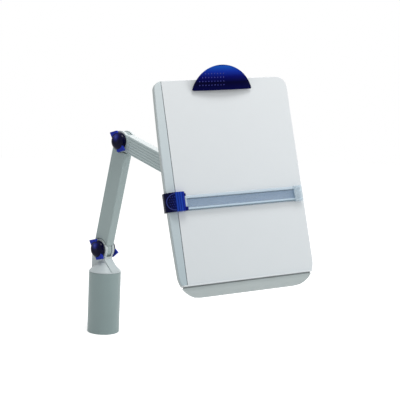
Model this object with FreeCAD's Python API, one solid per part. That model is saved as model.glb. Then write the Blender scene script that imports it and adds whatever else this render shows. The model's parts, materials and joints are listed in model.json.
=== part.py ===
import FreeCAD, Part

import math
import os

from FreeCAD import Placement, Rotation, Vector

# Copy holder on a jointed arm: a column that stands on a post, a swivelling cap, two arms with
# wing knobs, a tilting and swivelling head, and an A4 board with a clip, a sliding line guide and
# a drawer that pulls out at its lower edge. Lengths are in millimetres, angles in degrees.
# Each body is drawn in its own frame and set in place by the chain of frames further down.

# Common
OVERRUN = 2.0
FACE_GAP = 0.3
PIN_GAP = 0.1
THREAD_GAP = 0.1

# Column
COLUMN_DIAMETER = 56.0
COLUMN_HEIGHT = 107.6
COLUMN_WALL = 3.0
POST_BORE = 35.0
BUSH_WALL = 2.6
BUSH_LENGTH = 70.0
BUSH_WEB = 2.4
BUSH_WEBS = 6
BUSH_SKIN = 2.0
BUSH_TOP = 2.4
BUSH_TOP_HOLE = 16.0
BEARING_THICKNESS = 6.0
BEARING_DEPTH = 3.6
FRICTION_THICKNESS = 1.5
FRICTION_RADIUS = 21.0

# Swivel cap
CAP_GAP = 0.4
CAP_BAND = 1.0
CAP_CONE_HEIGHT = 16.6
CAP_CONE_TOP_RADIUS = 12.0
GUSSET_RISE = 0.9
NECK_FOOT = 7.2
CAP_BOLT_DIAMETER = 10.0
CAP_BOLT_HEAD = 16.0
CAP_BOLT_HEAD_HEIGHT = 6.4
CAP_WASHER_RADIUS = 11.0
CAP_WASHER_THICKNESS = 1.6
INSERT_ACROSS = 16.0
INSERT_HEIGHT = 12.0

# Knuckles shared by the three arm pivots
EYE_RADIUS = 18.0
FORK_WIDTH = 17.7
CHEEK = 3.0
TONGUE_GAP = 0.3
WASHER_THICKNESS = 0.6
WASHER_RADIUS = 13.0
TONGUE_RADIUS = 16.5
KNUCKLE_CLEARANCE = 1.4
BOSS_HEIGHT = 1.2
BOLT_DIAMETER = 8.0
BOLT_HEAD_ACROSS = 13.0
BOLT_HEAD_HEIGHT = 5.3
NUT_ACROSS = 13.0
NUT_HEIGHT = 5.0

# Wing knobs
KNOB_RADIUS = 15.5
KNOB_HEIGHT = 10.5
KNOB_SKIRT = 2.0
KNOB_CROWN_RADIUS = 4.0
WING_TIP_X = 17.7
WING_TIP_Z = 14.05
WING_HEEL_X = 2.3
WING_HEEL_Z = 18.25
WING_BASE = 3.4
WING_THICKNESS = 3.7
BACK_KNOB_TURN = -24.0
KNOB_FLOOR = 1.6

# Arms
PIVOT_SETBACK = 6.75
SHOULDER_Z = 147.0
LOWER_LENGTH = 196.1
LOWER_WIDTH = 30.9
ELBOW_FOLD = 6.0
UPPER_LENGTH = 180.25
UPPER_HEIGHT = 29.3
UPPER_DROP = 13.6
ARM_GAP = 0.6
ARM_WALL = 2.4
ARM_ROUND = 1.6
ARM_SOLID_END = 8.0
COVER_THICKNESS = 2.2
COVER_GAP = 0.15
COVER_RIB = 1.8
COVER_RIB_HEIGHT = 7.0
GROOVES = 6
GROOVE_PITCH = 4.44
GROOVE_WIDTH = 2.4
GROOVE_DEPTH = 1.1
GROOVE_TOP = 4.8
GROOVE_END = 19.6

# Head
HEAD_REACH = 36.0
HEAD_YOKE_BACK = 25.2
HEAD_YOKE_WALL = 4.5
HEAD_YOKE_WIDTH = 20.0
HEAD_NECK = 23.0
LUG_RADIUS = 9.0
LUG_INNER = 17.0
LUG_THICKNESS = 6.0
BARREL_GAP = 0.9
SWIVEL_PIN = 6.0
SWIVEL_PIN_HEAD = 10.0
SWIVEL_PIN_HEAD_HEIGHT = 2.2
SWIVEL_PIN_TAIL = 2.6
CLIP_RING_RADIUS = 5.2
CLIP_RING_THICKNESS = 1.0
HUB_STANDOFF = 3.0
HUB_FLANGE_RADIUS = 26.0
HUB_FLANGE = 5.0
HUB_NECK = 8.8
TURNTABLE_WASHER = 0.7
BOSS_PLATE = 4.0
BOSS_PLATE_RADIUS = 34.0
TURNTABLE_BOLT = 8.0
TURNTABLE_HEAD = 14.0
TURNTABLE_HEAD_HEIGHT = 4.5
TURNTABLE_THREAD = 5.0
TURNTABLE_SPRING = 1.4
SCREW_DIAMETER = 3.0
SCREW_HEAD = 5.6
SCREW_HEAD_HEIGHT = 1.8
SCREW_LENGTH = 5.0
BOSS_SCREWS = 4
BOSS_SCREW_CIRCLE = 30.0
PIVOT_X = -15.1
PIVOT_Z = 1.7

# Board
BOARD_LEFT = -115.4
BOARD_RIGHT = 103.4
BOARD_TOP = 145.6
BOARD_HEIGHT = 328.4
BOARD_DEPTH = 30.0
BOARD_TOP_LEFT_ROUND = 13.0
BOARD_TOP_RIGHT_ROUND = 17.0
BOARD_BOTTOM_ROUND = 37.0
BOARD_BOW = 3.0
FRAME_DEPTH = 9.0
FRAME_WALL = 2.4
WEB_THICKNESS = 2.0
COVER_STEP = 0.6
COVER_DRAFT = 9.0
COVER_WALL = 2.2
PLATE_THICKNESS = 2.5
PLATE_LEFT = -102.8
SEAM = 1.0
LEDGE_TOP = -161.0
LEDGE_HEIGHT = 2.2
LEDGE_REACH = 3.6
LEDGE_LEFT = -110.0
LEDGE_RIGHT = 98.0
SLOT_TOP = 122.0
SLOT_BOTTOM = -158.0
RUNNER_WIDTH = 4.0
RUNNER_HEIGHT = 3.0
RUNNER_WALL = 1.5
COVER_SCREW_X = 84.0
COVER_SCREW_TOP = 118.0
COVER_SCREW_LOW = -18.0
PILLAR_RADIUS = 4.4

# Drawer
DRAWER_SEAM = 2.0
DRAWER_FRONT_LIP = 1.4
DRAWER_NOSE_DEPTH = 16.0
DRAWER_NOSE_SHARE = 0.29
DRAWER_BACK_RISE = 6.6
TRAY_HALF_WIDTH = 82.0
TRAY_TOP = -40.0
TRAY_FRONT = 6.2
TRAY_BACK = 24.0
TRAY_WALL = 1.8
TRAY_DIVIDER_X = 22.0
DRAWER_SCREW_X = 60.0

# Line guide
SLIDER_LEFT = -121.8
SLIDER_RIGHT = -92.0
SLIDER_FOLD = -106.6
SLIDER_BACK = 8.0
SLIDER_TOP = -24.4
SLIDER_HEIGHT = 28.6
SLIDER_FRONT = 9.0
SLIDER_ROUND = 2.2
SLIDER_EDGE = 1.2
SLIDER_EDGE_RISE = 1.4
SLIDER_RIDGES = 3
SLIDER_RIDGE = 0.7
BLADE_THICKNESS = 0.84
BLADE_HEIGHT = 18.0
FOOT_WIDTH = 7.0
FOOT_THICKNESS = 1.4
GUIDE_RIGHT = 98.5
GUIDE_CENTRE = -41.8
GUIDE_HEIGHT = 22.5
GUIDE_NEAR = 2.0
GUIDE_THICKNESS = 2.2
GUIDE_RAIL = 3.6
GUIDE_RAIL_RISE = 1.2
GUIDE_ROOT = 5.0
END_CAP_LENGTH = 13.0
END_CAP_WALL = 1.1
END_CAP_OVERLAP = 11.5

# Clip
CLIP_X = -7.8
CLIP_HALF_CHORD = 48.8
CLIP_RISE = 38.0
CLIP_TILT = 20.8
CLIP_CHORD_Y = -1.6
CLIP_CHORD_Z = 128.0
CLIP_CROWN = 4.0
CLIP_WALL = 2.2
CLIP_RIM = 1.8
CLIP_CORNER = 1.6
CLIP_GRIP_HALF = 36.0
CLIP_GRIP_HEIGHT = 5.0
CLIP_GRIP_THICKNESS = 1.4
CLIP_PIN_DIAMETER = 3.0
CLIP_PIN_Y = 2.0
CLIP_LUG_X = 20.0
CLIP_LUG_WIDTH = 4.0
CLIP_LUG_RADIUS = 3.2
BRACKET_LUG_RADIUS = 3.2
BRACKET_LUG_WIDTH = 3.6
BRACKET_BASE = 1.6
BRACKET_BACK = 8.6
BRACKET_FRONT = 0.0
CLIP_PIN_END = 1.4

# Set of the joints as the holder stands
ARM_HEADING = -60.0
SHOULDER_LEAN = 12.73
UPPER_FALL = 17.67
HEAD_PITCH = 18.54
HEAD_SWIVEL = -28.66
BOARD_ROLL = -4.18

# Sizes that follow from the driving dimensions
COLUMN_RADIUS = COLUMN_DIAMETER / 2
TUBE_BORE_RADIUS = COLUMN_RADIUS - COLUMN_WALL
BEARING_TOP = COLUMN_HEIGHT - BEARING_DEPTH
BEARING_BOTTOM = BEARING_TOP - BEARING_THICKNESS
CAP_BOTTOM = COLUMN_HEIGHT + CAP_GAP
CONE_BASE = CAP_BOTTOM + CAP_BAND
CONE_TOP = CAP_BOTTOM + CAP_CONE_HEIGHT
HALF_FORK = FORK_WIDTH / 2
SLOT_HALF = HALF_FORK - CHEEK
TONGUE_HALF = SLOT_HALF - WASHER_THICKNESS - TONGUE_GAP
SHOULDER_ARC = EYE_RADIUS + KNUCKLE_CLEARANCE
KNOB_BASE = HALF_FORK + BOSS_HEIGHT + FACE_GAP
BOLT_RADIUS = BOLT_DIAMETER / 2
LOWER_HALF = LOWER_WIDTH / 2
UPPER_TOP = UPPER_HEIGHT - UPPER_DROP
BARREL_HALF = LUG_INNER - BARREL_GAP
FLANGE_BACK = LUG_RADIUS + HUB_STANDOFF
FLANGE_FRONT = FLANGE_BACK + HUB_FLANGE
HUB_REACH = FLANGE_FRONT + TURNTABLE_WASHER + FACE_GAP + BOSS_PLATE + BOARD_DEPTH
PIN_RADIUS = SWIVEL_PIN / 2
BOARD_SPAN = BOARD_RIGHT - BOARD_LEFT
BOARD_BOTTOM = BOARD_TOP - BOARD_HEIGHT
BOARD_MIDDLE = (BOARD_RIGHT + BOARD_LEFT) / 2
WEB_BACK = PLATE_THICKNESS + WEB_THICKNESS
SEAM_LEFT = PLATE_LEFT - SEAM
LEDGE_BOTTOM = LEDGE_TOP - LEDGE_HEIGHT
DRAWER_TOP = LEDGE_BOTTOM - DRAWER_SEAM
SLIDER_BOTTOM = SLIDER_TOP - SLIDER_HEIGHT
SLIDER_MIDDLE = (SLIDER_TOP + SLIDER_BOTTOM) / 2
SEAM_MIDDLE = PLATE_LEFT - SEAM / 2
GUIDE_TOP = GUIDE_CENTRE + GUIDE_HEIGHT / 2
GUIDE_BOTTOM = GUIDE_CENTRE - GUIDE_HEIGHT / 2
CLIP_RADIUS = (CLIP_HALF_CHORD ** 2 + CLIP_RISE ** 2) / (2 * CLIP_RISE)
CLIP_CENTRE = CLIP_RISE - CLIP_RADIUS
CLIP_PIN_Z = BOARD_TOP + BRACKET_BASE + CLIP_LUG_RADIUS + 2 * FACE_GAP

X_AXIS = Vector(1, 0, 0)
Y_AXIS = Vector(0, 1, 0)
Z_AXIS = Vector(0, 0, 1)


def slab(x_from, x_to, y_from, y_to, z_from, z_to):
    """Box between two opposite corners."""
    return Part.makeBox(x_to - x_from, y_to - y_from, z_to - z_from, Vector(x_from, y_from, z_from))


def rod(radius, start, end, axis, first=0, second=0):
    """Cylinder along an axis from start to end, offset by the other two coordinates in order."""
    if axis == X_AXIS:
        base = Vector(start, first, second)
    elif axis == Y_AXIS:
        base = Vector(first, start, second)
    else:
        base = Vector(first, second, start)
    return Part.makeCylinder(radius, end - start, base, axis)


def ring(outer, inner, start, end, axis, first=0, second=0):
    """Washer or sleeve: a rod less its bore."""
    bore = rod(inner, start - OVERRUN, end + OVERRUN, axis, first, second)
    return rod(outer, start, end, axis, first, second).cut(bore)


def prism(points, y_from, y_to):
    """Solid between two depths from a straight-sided outline given as x and z."""
    corners = [Vector(x, y_from, z) for x, z in points]
    face = Part.Face(Part.makePolygon(corners + corners[:1]))
    return face.extrude(Vector(0, y_to - y_from, 0))


def hexagon(across, y_from, y_to):
    """Hexagonal prism about the Y axis, across its flats."""
    corner = across / math.sqrt(3)
    points = [(corner * math.cos(math.radians(60 * i)), corner * math.sin(math.radians(60 * i)))
              for i in range(6)]
    return prism(points, y_from, y_to)


def revolve_z(points):
    """Solid of revolution about the Z axis from an outline given as radius and z."""
    corners = [Vector(radius, 0, z) for radius, z in points]
    face = Part.Face(Part.makePolygon(corners + corners[:1]))
    return face.revolve(Vector(0, 0, 0), Z_AXIS, 360)


def round_edges(shape, radius, wanted):
    """Fillet the straight edges whose direction and middle the test accepts."""
    edges = []
    for edge in shape.Edges:
        if not isinstance(edge.Curve, Part.Line):
            continue
        middle = edge.valueAt((edge.FirstParameter + edge.LastParameter) / 2)
        if wanted(edge.Curve.Direction, middle, edge.Length):
            edges.append(edge)
    return shape.makeFillet(radius, edges) if edges else shape


def union(shapes):
    """Join solids that share faces or overlap into one."""
    joined = shapes[0]
    if len(shapes) > 1:
        joined = joined.multiFuse(shapes[1:])
    return joined.removeSplitter()


# Chain of frames

ARM_FRAME = Placement(Vector(0, 0, 0), Rotation(Z_AXIS, ARM_HEADING))
SHOULDER_FRAME = ARM_FRAME * Placement(Vector(-PIVOT_SETBACK, 0, SHOULDER_Z), Rotation(Y_AXIS, 0))
LOWER_FRAME = SHOULDER_FRAME * Placement(Vector(0, 0, 0), Rotation(Y_AXIS, SHOULDER_LEAN))
ELBOW_TURN = Rotation(Y_AXIS, UPPER_FALL - SHOULDER_LEAN)
UPPER_FRAME = LOWER_FRAME * Placement(Vector(0, 0, LOWER_LENGTH), ELBOW_TURN)
WRIST_TURN = Rotation(Y_AXIS, -(UPPER_FALL + HEAD_PITCH))
HEAD_FRAME = UPPER_FRAME * Placement(Vector(UPPER_LENGTH, 0, 0), WRIST_TURN)
HUB_FRAME = HEAD_FRAME * Placement(Vector(HEAD_REACH, 0, 0), Rotation(Z_AXIS, HEAD_SWIVEL))
BOARD_TURN = Rotation(Z_AXIS, 90) * Rotation(Y_AXIS, -BOARD_ROLL)
TURN_FRAME = HUB_FRAME * Placement(Vector(HUB_REACH, 0, 0), BOARD_TURN)
BOARD_FRAME = TURN_FRAME * Placement(Vector(-PIVOT_X, 0, -PIVOT_Z), Rotation(Y_AXIS, 0))
CLIP_TURN = Placement(Vector(CLIP_X, CLIP_CHORD_Y, CLIP_CHORD_Z), Rotation(X_AXIS, CLIP_TILT))
CLIP_FRAME = BOARD_FRAME * CLIP_TURN


# Column and cap

def column_tube():
    """Plain tube with its lower and upper rims broken by a small chamfer."""
    tube = ring(COLUMN_RADIUS, TUBE_BORE_RADIUS, 0, COLUMN_HEIGHT, Z_AXIS)
    rims = [edge for edge in tube.Edges
            if isinstance(edge.Curve, Part.Circle) and edge.Curve.Radius > TUBE_BORE_RADIUS + FACE_GAP]
    return tube.makeChamfer(COLUMN_WALL / 6, rims)


def column_bush():
    """Ribbed liner that centres the column on its post, with a stop at the top of the bore."""
    bore_radius = POST_BORE / 2
    sleeve_radius = bore_radius + BUSH_WALL
    parts = [ring(sleeve_radius, bore_radius, 0, BUSH_LENGTH, Z_AXIS),
             ring(TUBE_BORE_RADIUS, TUBE_BORE_RADIUS - BUSH_SKIN, 0, BUSH_LENGTH, Z_AXIS),
             ring(TUBE_BORE_RADIUS, BUSH_TOP_HOLE / 2, BUSH_LENGTH, BUSH_LENGTH + BUSH_TOP, Z_AXIS)]
    inner = (bore_radius + sleeve_radius) / 2
    outer = TUBE_BORE_RADIUS - BUSH_SKIN / 2
    for i in range(BUSH_WEBS):
        web = slab(inner, outer, -BUSH_WEB / 2, BUSH_WEB / 2, 0, BUSH_LENGTH)
        web.rotate(Vector(0, 0, 0), Z_AXIS, 360 * i / BUSH_WEBS)
        parts.append(web)
    return union(parts)


def bearing_plate():
    """Disc near the column's top that the cap turns on."""
    hole = CAP_BOLT_DIAMETER / 2 + PIN_GAP
    return ring(TUBE_BORE_RADIUS, hole, BEARING_BOTTOM, BEARING_TOP, Z_AXIS)


def friction_disc():
    """Fibre disc between the bearing plate and the cap."""
    hole = CAP_BOLT_DIAMETER / 2 + PIN_GAP
    return ring(FRICTION_RADIUS, hole, BEARING_TOP, BEARING_TOP + FRICTION_THICKNESS, Z_AXIS)


def swivel_cap():
    """Conical shoulder with a fork that carries the lower arm, and a web down its front."""
    spigot_bottom = BEARING_TOP + FRICTION_THICKNESS + FACE_GAP
    spigot_radius = TUBE_BORE_RADIUS - FACE_GAP
    cone = revolve_z([(0, spigot_bottom), (spigot_radius, spigot_bottom), (spigot_radius, CAP_BOTTOM),
                      (COLUMN_RADIUS, CAP_BOTTOM), (COLUMN_RADIUS, CONE_BASE),
                      (CAP_CONE_TOP_RADIUS, CONE_TOP), (0, CONE_TOP)])
    back = -PIVOT_SETBACK - EYE_RADIUS
    front = -PIVOT_SETBACK + EYE_RADIUS
    slope = (CONE_TOP - CONE_BASE) / (COLUMN_RADIUS - CAP_CONE_TOP_RADIUS)
    rim_front = math.sqrt(COLUMN_RADIUS ** 2 - HALF_FORK ** 2)
    rim_rise = GUSSET_RISE + (COLUMN_RADIUS - rim_front) * slope
    foot_rise = GUSSET_RISE + (COLUMN_RADIUS - NECK_FOOT) * slope
    neck = prism([(back, CONE_BASE), (rim_front, CONE_BASE), (rim_front, CONE_BASE + rim_rise),
                  (NECK_FOOT, CONE_BASE + foot_rise), (front, SHOULDER_Z), (back, SHOULDER_Z)],
                 -HALF_FORK, HALF_FORK)
    back_room = rod(COLUMN_RADIUS, CONE_BASE, SHOULDER_Z + EYE_RADIUS, Z_AXIS)
    eye = rod(EYE_RADIUS, -HALF_FORK, HALF_FORK, Y_AXIS, -PIVOT_SETBACK, SHOULDER_Z)
    boss = rod(EYE_RADIUS, -HALF_FORK - BOSS_HEIGHT, HALF_FORK + BOSS_HEIGHT, Y_AXIS,
               -PIVOT_SETBACK, SHOULDER_Z)
    cap = union([cone, neck.common(back_room), eye, boss])
    slot = union([rod(SHOULDER_ARC, -SLOT_HALF, SLOT_HALF, Y_AXIS, -PIVOT_SETBACK, SHOULDER_Z),
                  slab(-PIVOT_SETBACK - SHOULDER_ARC, -PIVOT_SETBACK + SHOULDER_ARC,
                       -SLOT_HALF, SLOT_HALF, SHOULDER_Z, SHOULDER_Z + SHOULDER_ARC)])
    bolt_hole = rod(BOLT_RADIUS + PIN_GAP, -FORK_WIDTH, FORK_WIDTH, Y_AXIS, -PIVOT_SETBACK, SHOULDER_Z)
    pocket = hexagon(INSERT_ACROSS, 0, INSERT_HEIGHT)
    pocket.rotate(Vector(0, 0, 0), X_AXIS, 90)
    pocket.translate(Vector(0, 0, spigot_bottom))
    return cap.cut(slot).cut(bolt_hole).cut(pocket)


def cap_insert():
    """Threaded brass insert moulded into the underside of the cap."""
    insert = hexagon(INSERT_ACROSS, 0, INSERT_HEIGHT)
    insert.rotate(Vector(0, 0, 0), X_AXIS, 90)
    bottom = BEARING_TOP + FRICTION_THICKNESS + FACE_GAP
    insert.translate(Vector(0, 0, bottom))
    hole = rod(CAP_BOLT_DIAMETER / 2 + THREAD_GAP, bottom - OVERRUN, bottom + INSERT_HEIGHT, Z_AXIS)
    return insert.cut(hole)


def swivel_bolt():
    """Bolt that draws the cap down on the bearing plate."""
    head_top = BEARING_BOTTOM - FACE_GAP - CAP_WASHER_THICKNESS
    shank = rod(CAP_BOLT_DIAMETER / 2, head_top,
                BEARING_TOP + FRICTION_THICKNESS + INSERT_HEIGHT - OVERRUN, Z_AXIS)
    head = hexagon(CAP_BOLT_HEAD, 0, CAP_BOLT_HEAD_HEIGHT)
    head.rotate(Vector(0, 0, 0), X_AXIS, 90)
    head.translate(Vector(0, 0, head_top - CAP_BOLT_HEAD_HEIGHT))
    return union([shank, head])


def swivel_spring_washer():
    """Spring washer under the bearing plate that keeps the cap's friction even."""
    top = BEARING_BOTTOM - FACE_GAP
    return ring(CAP_WASHER_RADIUS, CAP_BOLT_DIAMETER / 2 + PIN_GAP, top - CAP_WASHER_THICKNESS, top,
                Z_AXIS)


# Knuckle hardware, drawn about the pivot with the near side towards -Y

def wing_outline():
    """Parallelogram of the knob's grip, as x and z."""
    return [(-WING_TIP_X, WING_TIP_Z), (-WING_HEEL_X, WING_HEEL_Z),
            (WING_TIP_X, -WING_TIP_Z), (WING_HEEL_X, -WING_HEEL_Z)]


def knob_body():
    """Domed knob with a wing plate through it, its base on the XZ plane and its crown towards -Y."""
    crown = KNOB_CROWN_RADIUS
    rise = KNOB_HEIGHT - KNOB_SKIRT
    skirt_edge = Vector(KNOB_RADIUS, -KNOB_SKIRT, 0)
    middle_radius = crown + (KNOB_RADIUS - crown) * math.cos(math.radians(45))
    middle = Vector(middle_radius, -KNOB_SKIRT - rise * math.sin(math.radians(45)), 0)
    crown_edge = Vector(crown, -KNOB_HEIGHT, 0)
    edges = [Part.makeLine(Vector(0, 0, 0), Vector(KNOB_RADIUS, 0, 0)),
             Part.makeLine(Vector(KNOB_RADIUS, 0, 0), skirt_edge),
             Part.Arc(skirt_edge, middle, crown_edge).toShape(),
             Part.makeLine(crown_edge, Vector(0, -KNOB_HEIGHT, 0)),
             Part.makeLine(Vector(0, -KNOB_HEIGHT, 0), Vector(0, 0, 0))]
    dome = Part.Face(Part.Wire(edges)).revolve(Vector(0, 0, 0), Y_AXIS, 360)
    wing = prism(wing_outline(), -WING_BASE - WING_THICKNESS, -WING_BASE)
    wing = round_edges(wing, WING_THICKNESS / 4, lambda d, m, n: abs(d.y) > 0.9)
    return union([dome, wing])


def near_knob():
    """Knob that turns on the bolt, with a pocket for its nut."""
    knob = knob_body()
    knob.translate(Vector(0, -KNOB_BASE, 0))
    pocket = hexagon(NUT_ACROSS, -KNOB_BASE - KNOB_FLOOR - NUT_HEIGHT, -KNOB_BASE - KNOB_FLOOR)
    hole = rod(BOLT_RADIUS + THREAD_GAP, -KNOB_BASE - KNOB_FLOOR - NUT_HEIGHT - KNOB_FLOOR, 0, Y_AXIS)
    return knob.cut(pocket).cut(hole)


def knob_nut():
    """Steel nut moulded into the near knob."""
    nut = hexagon(NUT_ACROSS, -KNOB_BASE - KNOB_FLOOR - NUT_HEIGHT, -KNOB_BASE - KNOB_FLOOR)
    return nut.cut(rod(BOLT_RADIUS + THREAD_GAP, -FORK_WIDTH - KNOB_HEIGHT, 0, Y_AXIS))


def far_knob():
    """Matching knob on the far side, which holds the bolt's head against turning."""
    knob = knob_body().mirror(Vector(0, 0, 0), Y_AXIS)
    knob.rotate(Vector(0, 0, 0), Y_AXIS, BACK_KNOB_TURN)
    knob.translate(Vector(0, KNOB_BASE, 0))
    pocket = hexagon(BOLT_HEAD_ACROSS, KNOB_BASE + KNOB_FLOOR, KNOB_BASE + KNOB_FLOOR + BOLT_HEAD_HEIGHT)
    hole = rod(BOLT_RADIUS, 0, KNOB_BASE + KNOB_FLOOR + BOLT_HEAD_HEIGHT / 2, Y_AXIS)
    return knob.cut(pocket).cut(hole)


def knuckle_bolt():
    """Hexagon bolt through both cheeks and the tongue."""
    shank = rod(BOLT_RADIUS, -KNOB_BASE - KNOB_FLOOR - NUT_HEIGHT, KNOB_BASE + KNOB_FLOOR + FACE_GAP, Y_AXIS)
    head = hexagon(BOLT_HEAD_ACROSS, KNOB_BASE + KNOB_FLOOR, KNOB_BASE + KNOB_FLOOR + BOLT_HEAD_HEIGHT)
    return union([shank, head])


def knuckle_washers():
    """Pair of friction washers, one inside each cheek."""
    hole = BOLT_RADIUS + PIN_GAP
    near = ring(WASHER_RADIUS, hole, -SLOT_HALF, -SLOT_HALF + WASHER_THICKNESS, Y_AXIS)
    far = ring(WASHER_RADIUS, hole, SLOT_HALF - WASHER_THICKNESS, SLOT_HALF, Y_AXIS)
    return Part.makeCompound([near, far])


def tongue_hole(x, z):
    """Bolt hole through a tongue."""
    return rod(BOLT_RADIUS + PIN_GAP, -FORK_WIDTH, FORK_WIDTH, Y_AXIS, x, z)


# Arms

def lower_arm():
    """Box arm, pivot at the origin and elbow above it, with a tongue at each end."""
    top = LOWER_LENGTH
    body = slab(-LOWER_HALF, LOWER_HALF, -HALF_FORK, HALF_FORK, 0, top)
    body = round_edges(body, ARM_ROUND, lambda d, m, n: abs(d.z) > 0.9)
    lower_room = rod(SHOULDER_ARC, -FORK_WIDTH, FORK_WIDTH, Y_AXIS)
    upper_room = rod(SHOULDER_ARC, -FORK_WIDTH, FORK_WIDTH, Y_AXIS, 0, top)
    fold = math.radians(90 + SHOULDER_LEAN - UPPER_FALL - ELBOW_FOLD)
    reach = (UPPER_DROP + ARM_GAP) / math.sin(fold)
    fall = LOWER_WIDTH / math.tan(fold)
    fold_room = prism([(0, top), (LOWER_WIDTH, top), (LOWER_WIDTH, top - reach - fall), (0, top - reach)],
                      -FORK_WIDTH, FORK_WIDTH)
    corner_room = slab(-LOWER_WIDTH, LOWER_WIDTH, -FORK_WIDTH, FORK_WIDTH, -OVERRUN, 0)
    body = body.cut(lower_room).cut(upper_room).cut(fold_room).cut(corner_room)
    root = SHOULDER_ARC + ARM_SOLID_END
    half = TONGUE_RADIUS - ARM_WALL
    tongues = [rod(TONGUE_RADIUS, -TONGUE_HALF, TONGUE_HALF, Y_AXIS),
               rod(TONGUE_RADIUS, -TONGUE_HALF, TONGUE_HALF, Y_AXIS, 0, top),
               slab(-half, half, -TONGUE_HALF, TONGUE_HALF, 0, root),
               slab(-half, half, -TONGUE_HALF, TONGUE_HALF, top - root - ARM_SOLID_END, top)]
    channel = slab(-LOWER_WIDTH, LOWER_HALF - ARM_WALL, -HALF_FORK + ARM_WALL, HALF_FORK - ARM_WALL,
                   root, top - root - ARM_SOLID_END)
    arm = union([body] + tongues)
    return arm.cut(channel).cut(tongue_hole(0, 0)).cut(tongue_hole(0, top))


def arm_cover(length):
    """Strip with cross ribs that snaps into an arm's open side: face at z = 0, running along X."""
    half = HALF_FORK - ARM_WALL - COVER_GAP
    strip = slab(COVER_GAP, length - COVER_GAP, -half, half, 0, COVER_THICKNESS)
    parts = [strip]
    ribs = int(length / (4 * COVER_RIB_HEIGHT))
    for i in range(1, ribs):
        x = length * i / ribs
        parts.append(slab(x - COVER_RIB / 2, x + COVER_RIB / 2, -half, half, 0, COVER_RIB_HEIGHT))
    return union(parts)


def lower_arm_cover():
    """Cover on the lower arm's back."""
    root = SHOULDER_ARC + ARM_SOLID_END
    cover = arm_cover(LOWER_LENGTH - 2 * root - ARM_SOLID_END)
    cover.rotate(Vector(0, 0, 0), Y_AXIS, -90)
    turned = cover.mirror(Vector(0, 0, 0), X_AXIS)
    turned.translate(Vector(-LOWER_HALF, 0, root))
    return turned


def upper_arm():
    """Ribbed box arm along X, elbow at the origin, with a fork at each end."""
    far = UPPER_LENGTH
    body = slab(0, far, -HALF_FORK, HALF_FORK, -UPPER_DROP, UPPER_TOP)
    body = round_edges(body, ARM_ROUND, lambda d, m, n: abs(d.x) > 0.9)
    eyes = [rod(EYE_RADIUS, -HALF_FORK - BOSS_HEIGHT, HALF_FORK + BOSS_HEIGHT, Y_AXIS, x, 0)
            for x in (0, far)]
    arm = union([body] + eyes)
    grooves = []
    for i in range(GROOVES):
        z = UPPER_TOP - GROOVE_TOP - i * GROOVE_PITCH
        for side in (-1, 1):
            corners = [Vector(GROOVE_END, side * HALF_FORK, z + GROOVE_WIDTH / 2),
                       Vector(GROOVE_END, side * (HALF_FORK - GROOVE_DEPTH), z),
                       Vector(GROOVE_END, side * HALF_FORK, z - GROOVE_WIDTH / 2),
                       Vector(GROOVE_END, side * (HALF_FORK + GROOVE_DEPTH), z)]
            face = Part.Face(Part.makePolygon(corners + corners[:1]))
            grooves.append(face.extrude(Vector(far - 2 * GROOVE_END, 0, 0)))
    root = SHOULDER_ARC + ARM_SOLID_END
    channel = slab(root, far - root, -HALF_FORK + ARM_WALL, HALF_FORK - ARM_WALL,
                   -UPPER_DROP - OVERRUN, UPPER_TOP - ARM_WALL)
    mouth = slab(0, SHOULDER_ARC, -SLOT_HALF, SLOT_HALF, -UPPER_DROP - OVERRUN, 0)
    cuts = grooves + [channel, mouth]
    for x in (0, far):
        cuts.append(rod(SHOULDER_ARC, -SLOT_HALF, SLOT_HALF, Y_AXIS, x, 0))
        cuts.append(tongue_hole(x, 0))
    return arm.cut(cuts)


def upper_arm_cover():
    """Cover on the upper arm's underside."""
    root = SHOULDER_ARC + ARM_SOLID_END
    cover = arm_cover(UPPER_LENGTH - 2 * root)
    cover.translate(Vector(root, 0, -UPPER_DROP))
    return cover


# Head, drawn from the wrist pivot with X forwards

def head_block():
    """Tongue for the upper arm's fork with a yoke that holds the swivel pin."""
    front = HEAD_YOKE_BACK + HEAD_YOKE_WALL
    outer = LUG_INNER + LUG_THICKNESS
    half = HEAD_YOKE_WIDTH / 2
    half_neck = HEAD_NECK / 2
    parts = [rod(TONGUE_RADIUS, -TONGUE_HALF, TONGUE_HALF, Y_AXIS),
             slab(0, front - HEAD_YOKE_WALL / 2, -TONGUE_HALF, TONGUE_HALF, -half_neck, half_neck),
             slab(HEAD_YOKE_BACK, front, -half, half, -outer, outer)]
    for low, high in ((LUG_INNER, outer), (-outer, -LUG_INNER)):
        parts.append(rod(LUG_RADIUS, low, high, Z_AXIS, HEAD_REACH, 0))
        parts.append(slab(HEAD_YOKE_BACK, HEAD_REACH, -LUG_RADIUS, LUG_RADIUS, low, high))
    block = union(parts)
    room = rod(LUG_RADIUS + KNUCKLE_CLEARANCE, -LUG_INNER, LUG_INNER, Z_AXIS, HEAD_REACH, 0)
    hole = rod(PIN_RADIUS + PIN_GAP / 2, -2 * outer, 2 * outer, Z_AXIS, HEAD_REACH, 0)
    return block.cut(room).cut(hole).cut(tongue_hole(0, 0))


def swivel_pin():
    """Headed pin down through the yoke."""
    outer = LUG_INNER + LUG_THICKNESS
    shank = rod(PIN_RADIUS, -outer - SWIVEL_PIN_TAIL, outer, Z_AXIS, HEAD_REACH, 0)
    head = rod(SWIVEL_PIN_HEAD / 2, outer, outer + SWIVEL_PIN_HEAD_HEIGHT, Z_AXIS, HEAD_REACH, 0)
    groove = ring(PIN_RADIUS + OVERRUN, PIN_RADIUS - CLIP_RING_THICKNESS / 2,
                  -outer - CLIP_RING_THICKNESS, -outer, Z_AXIS, HEAD_REACH, 0)
    return union([shank, head]).cut(groove)


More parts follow.
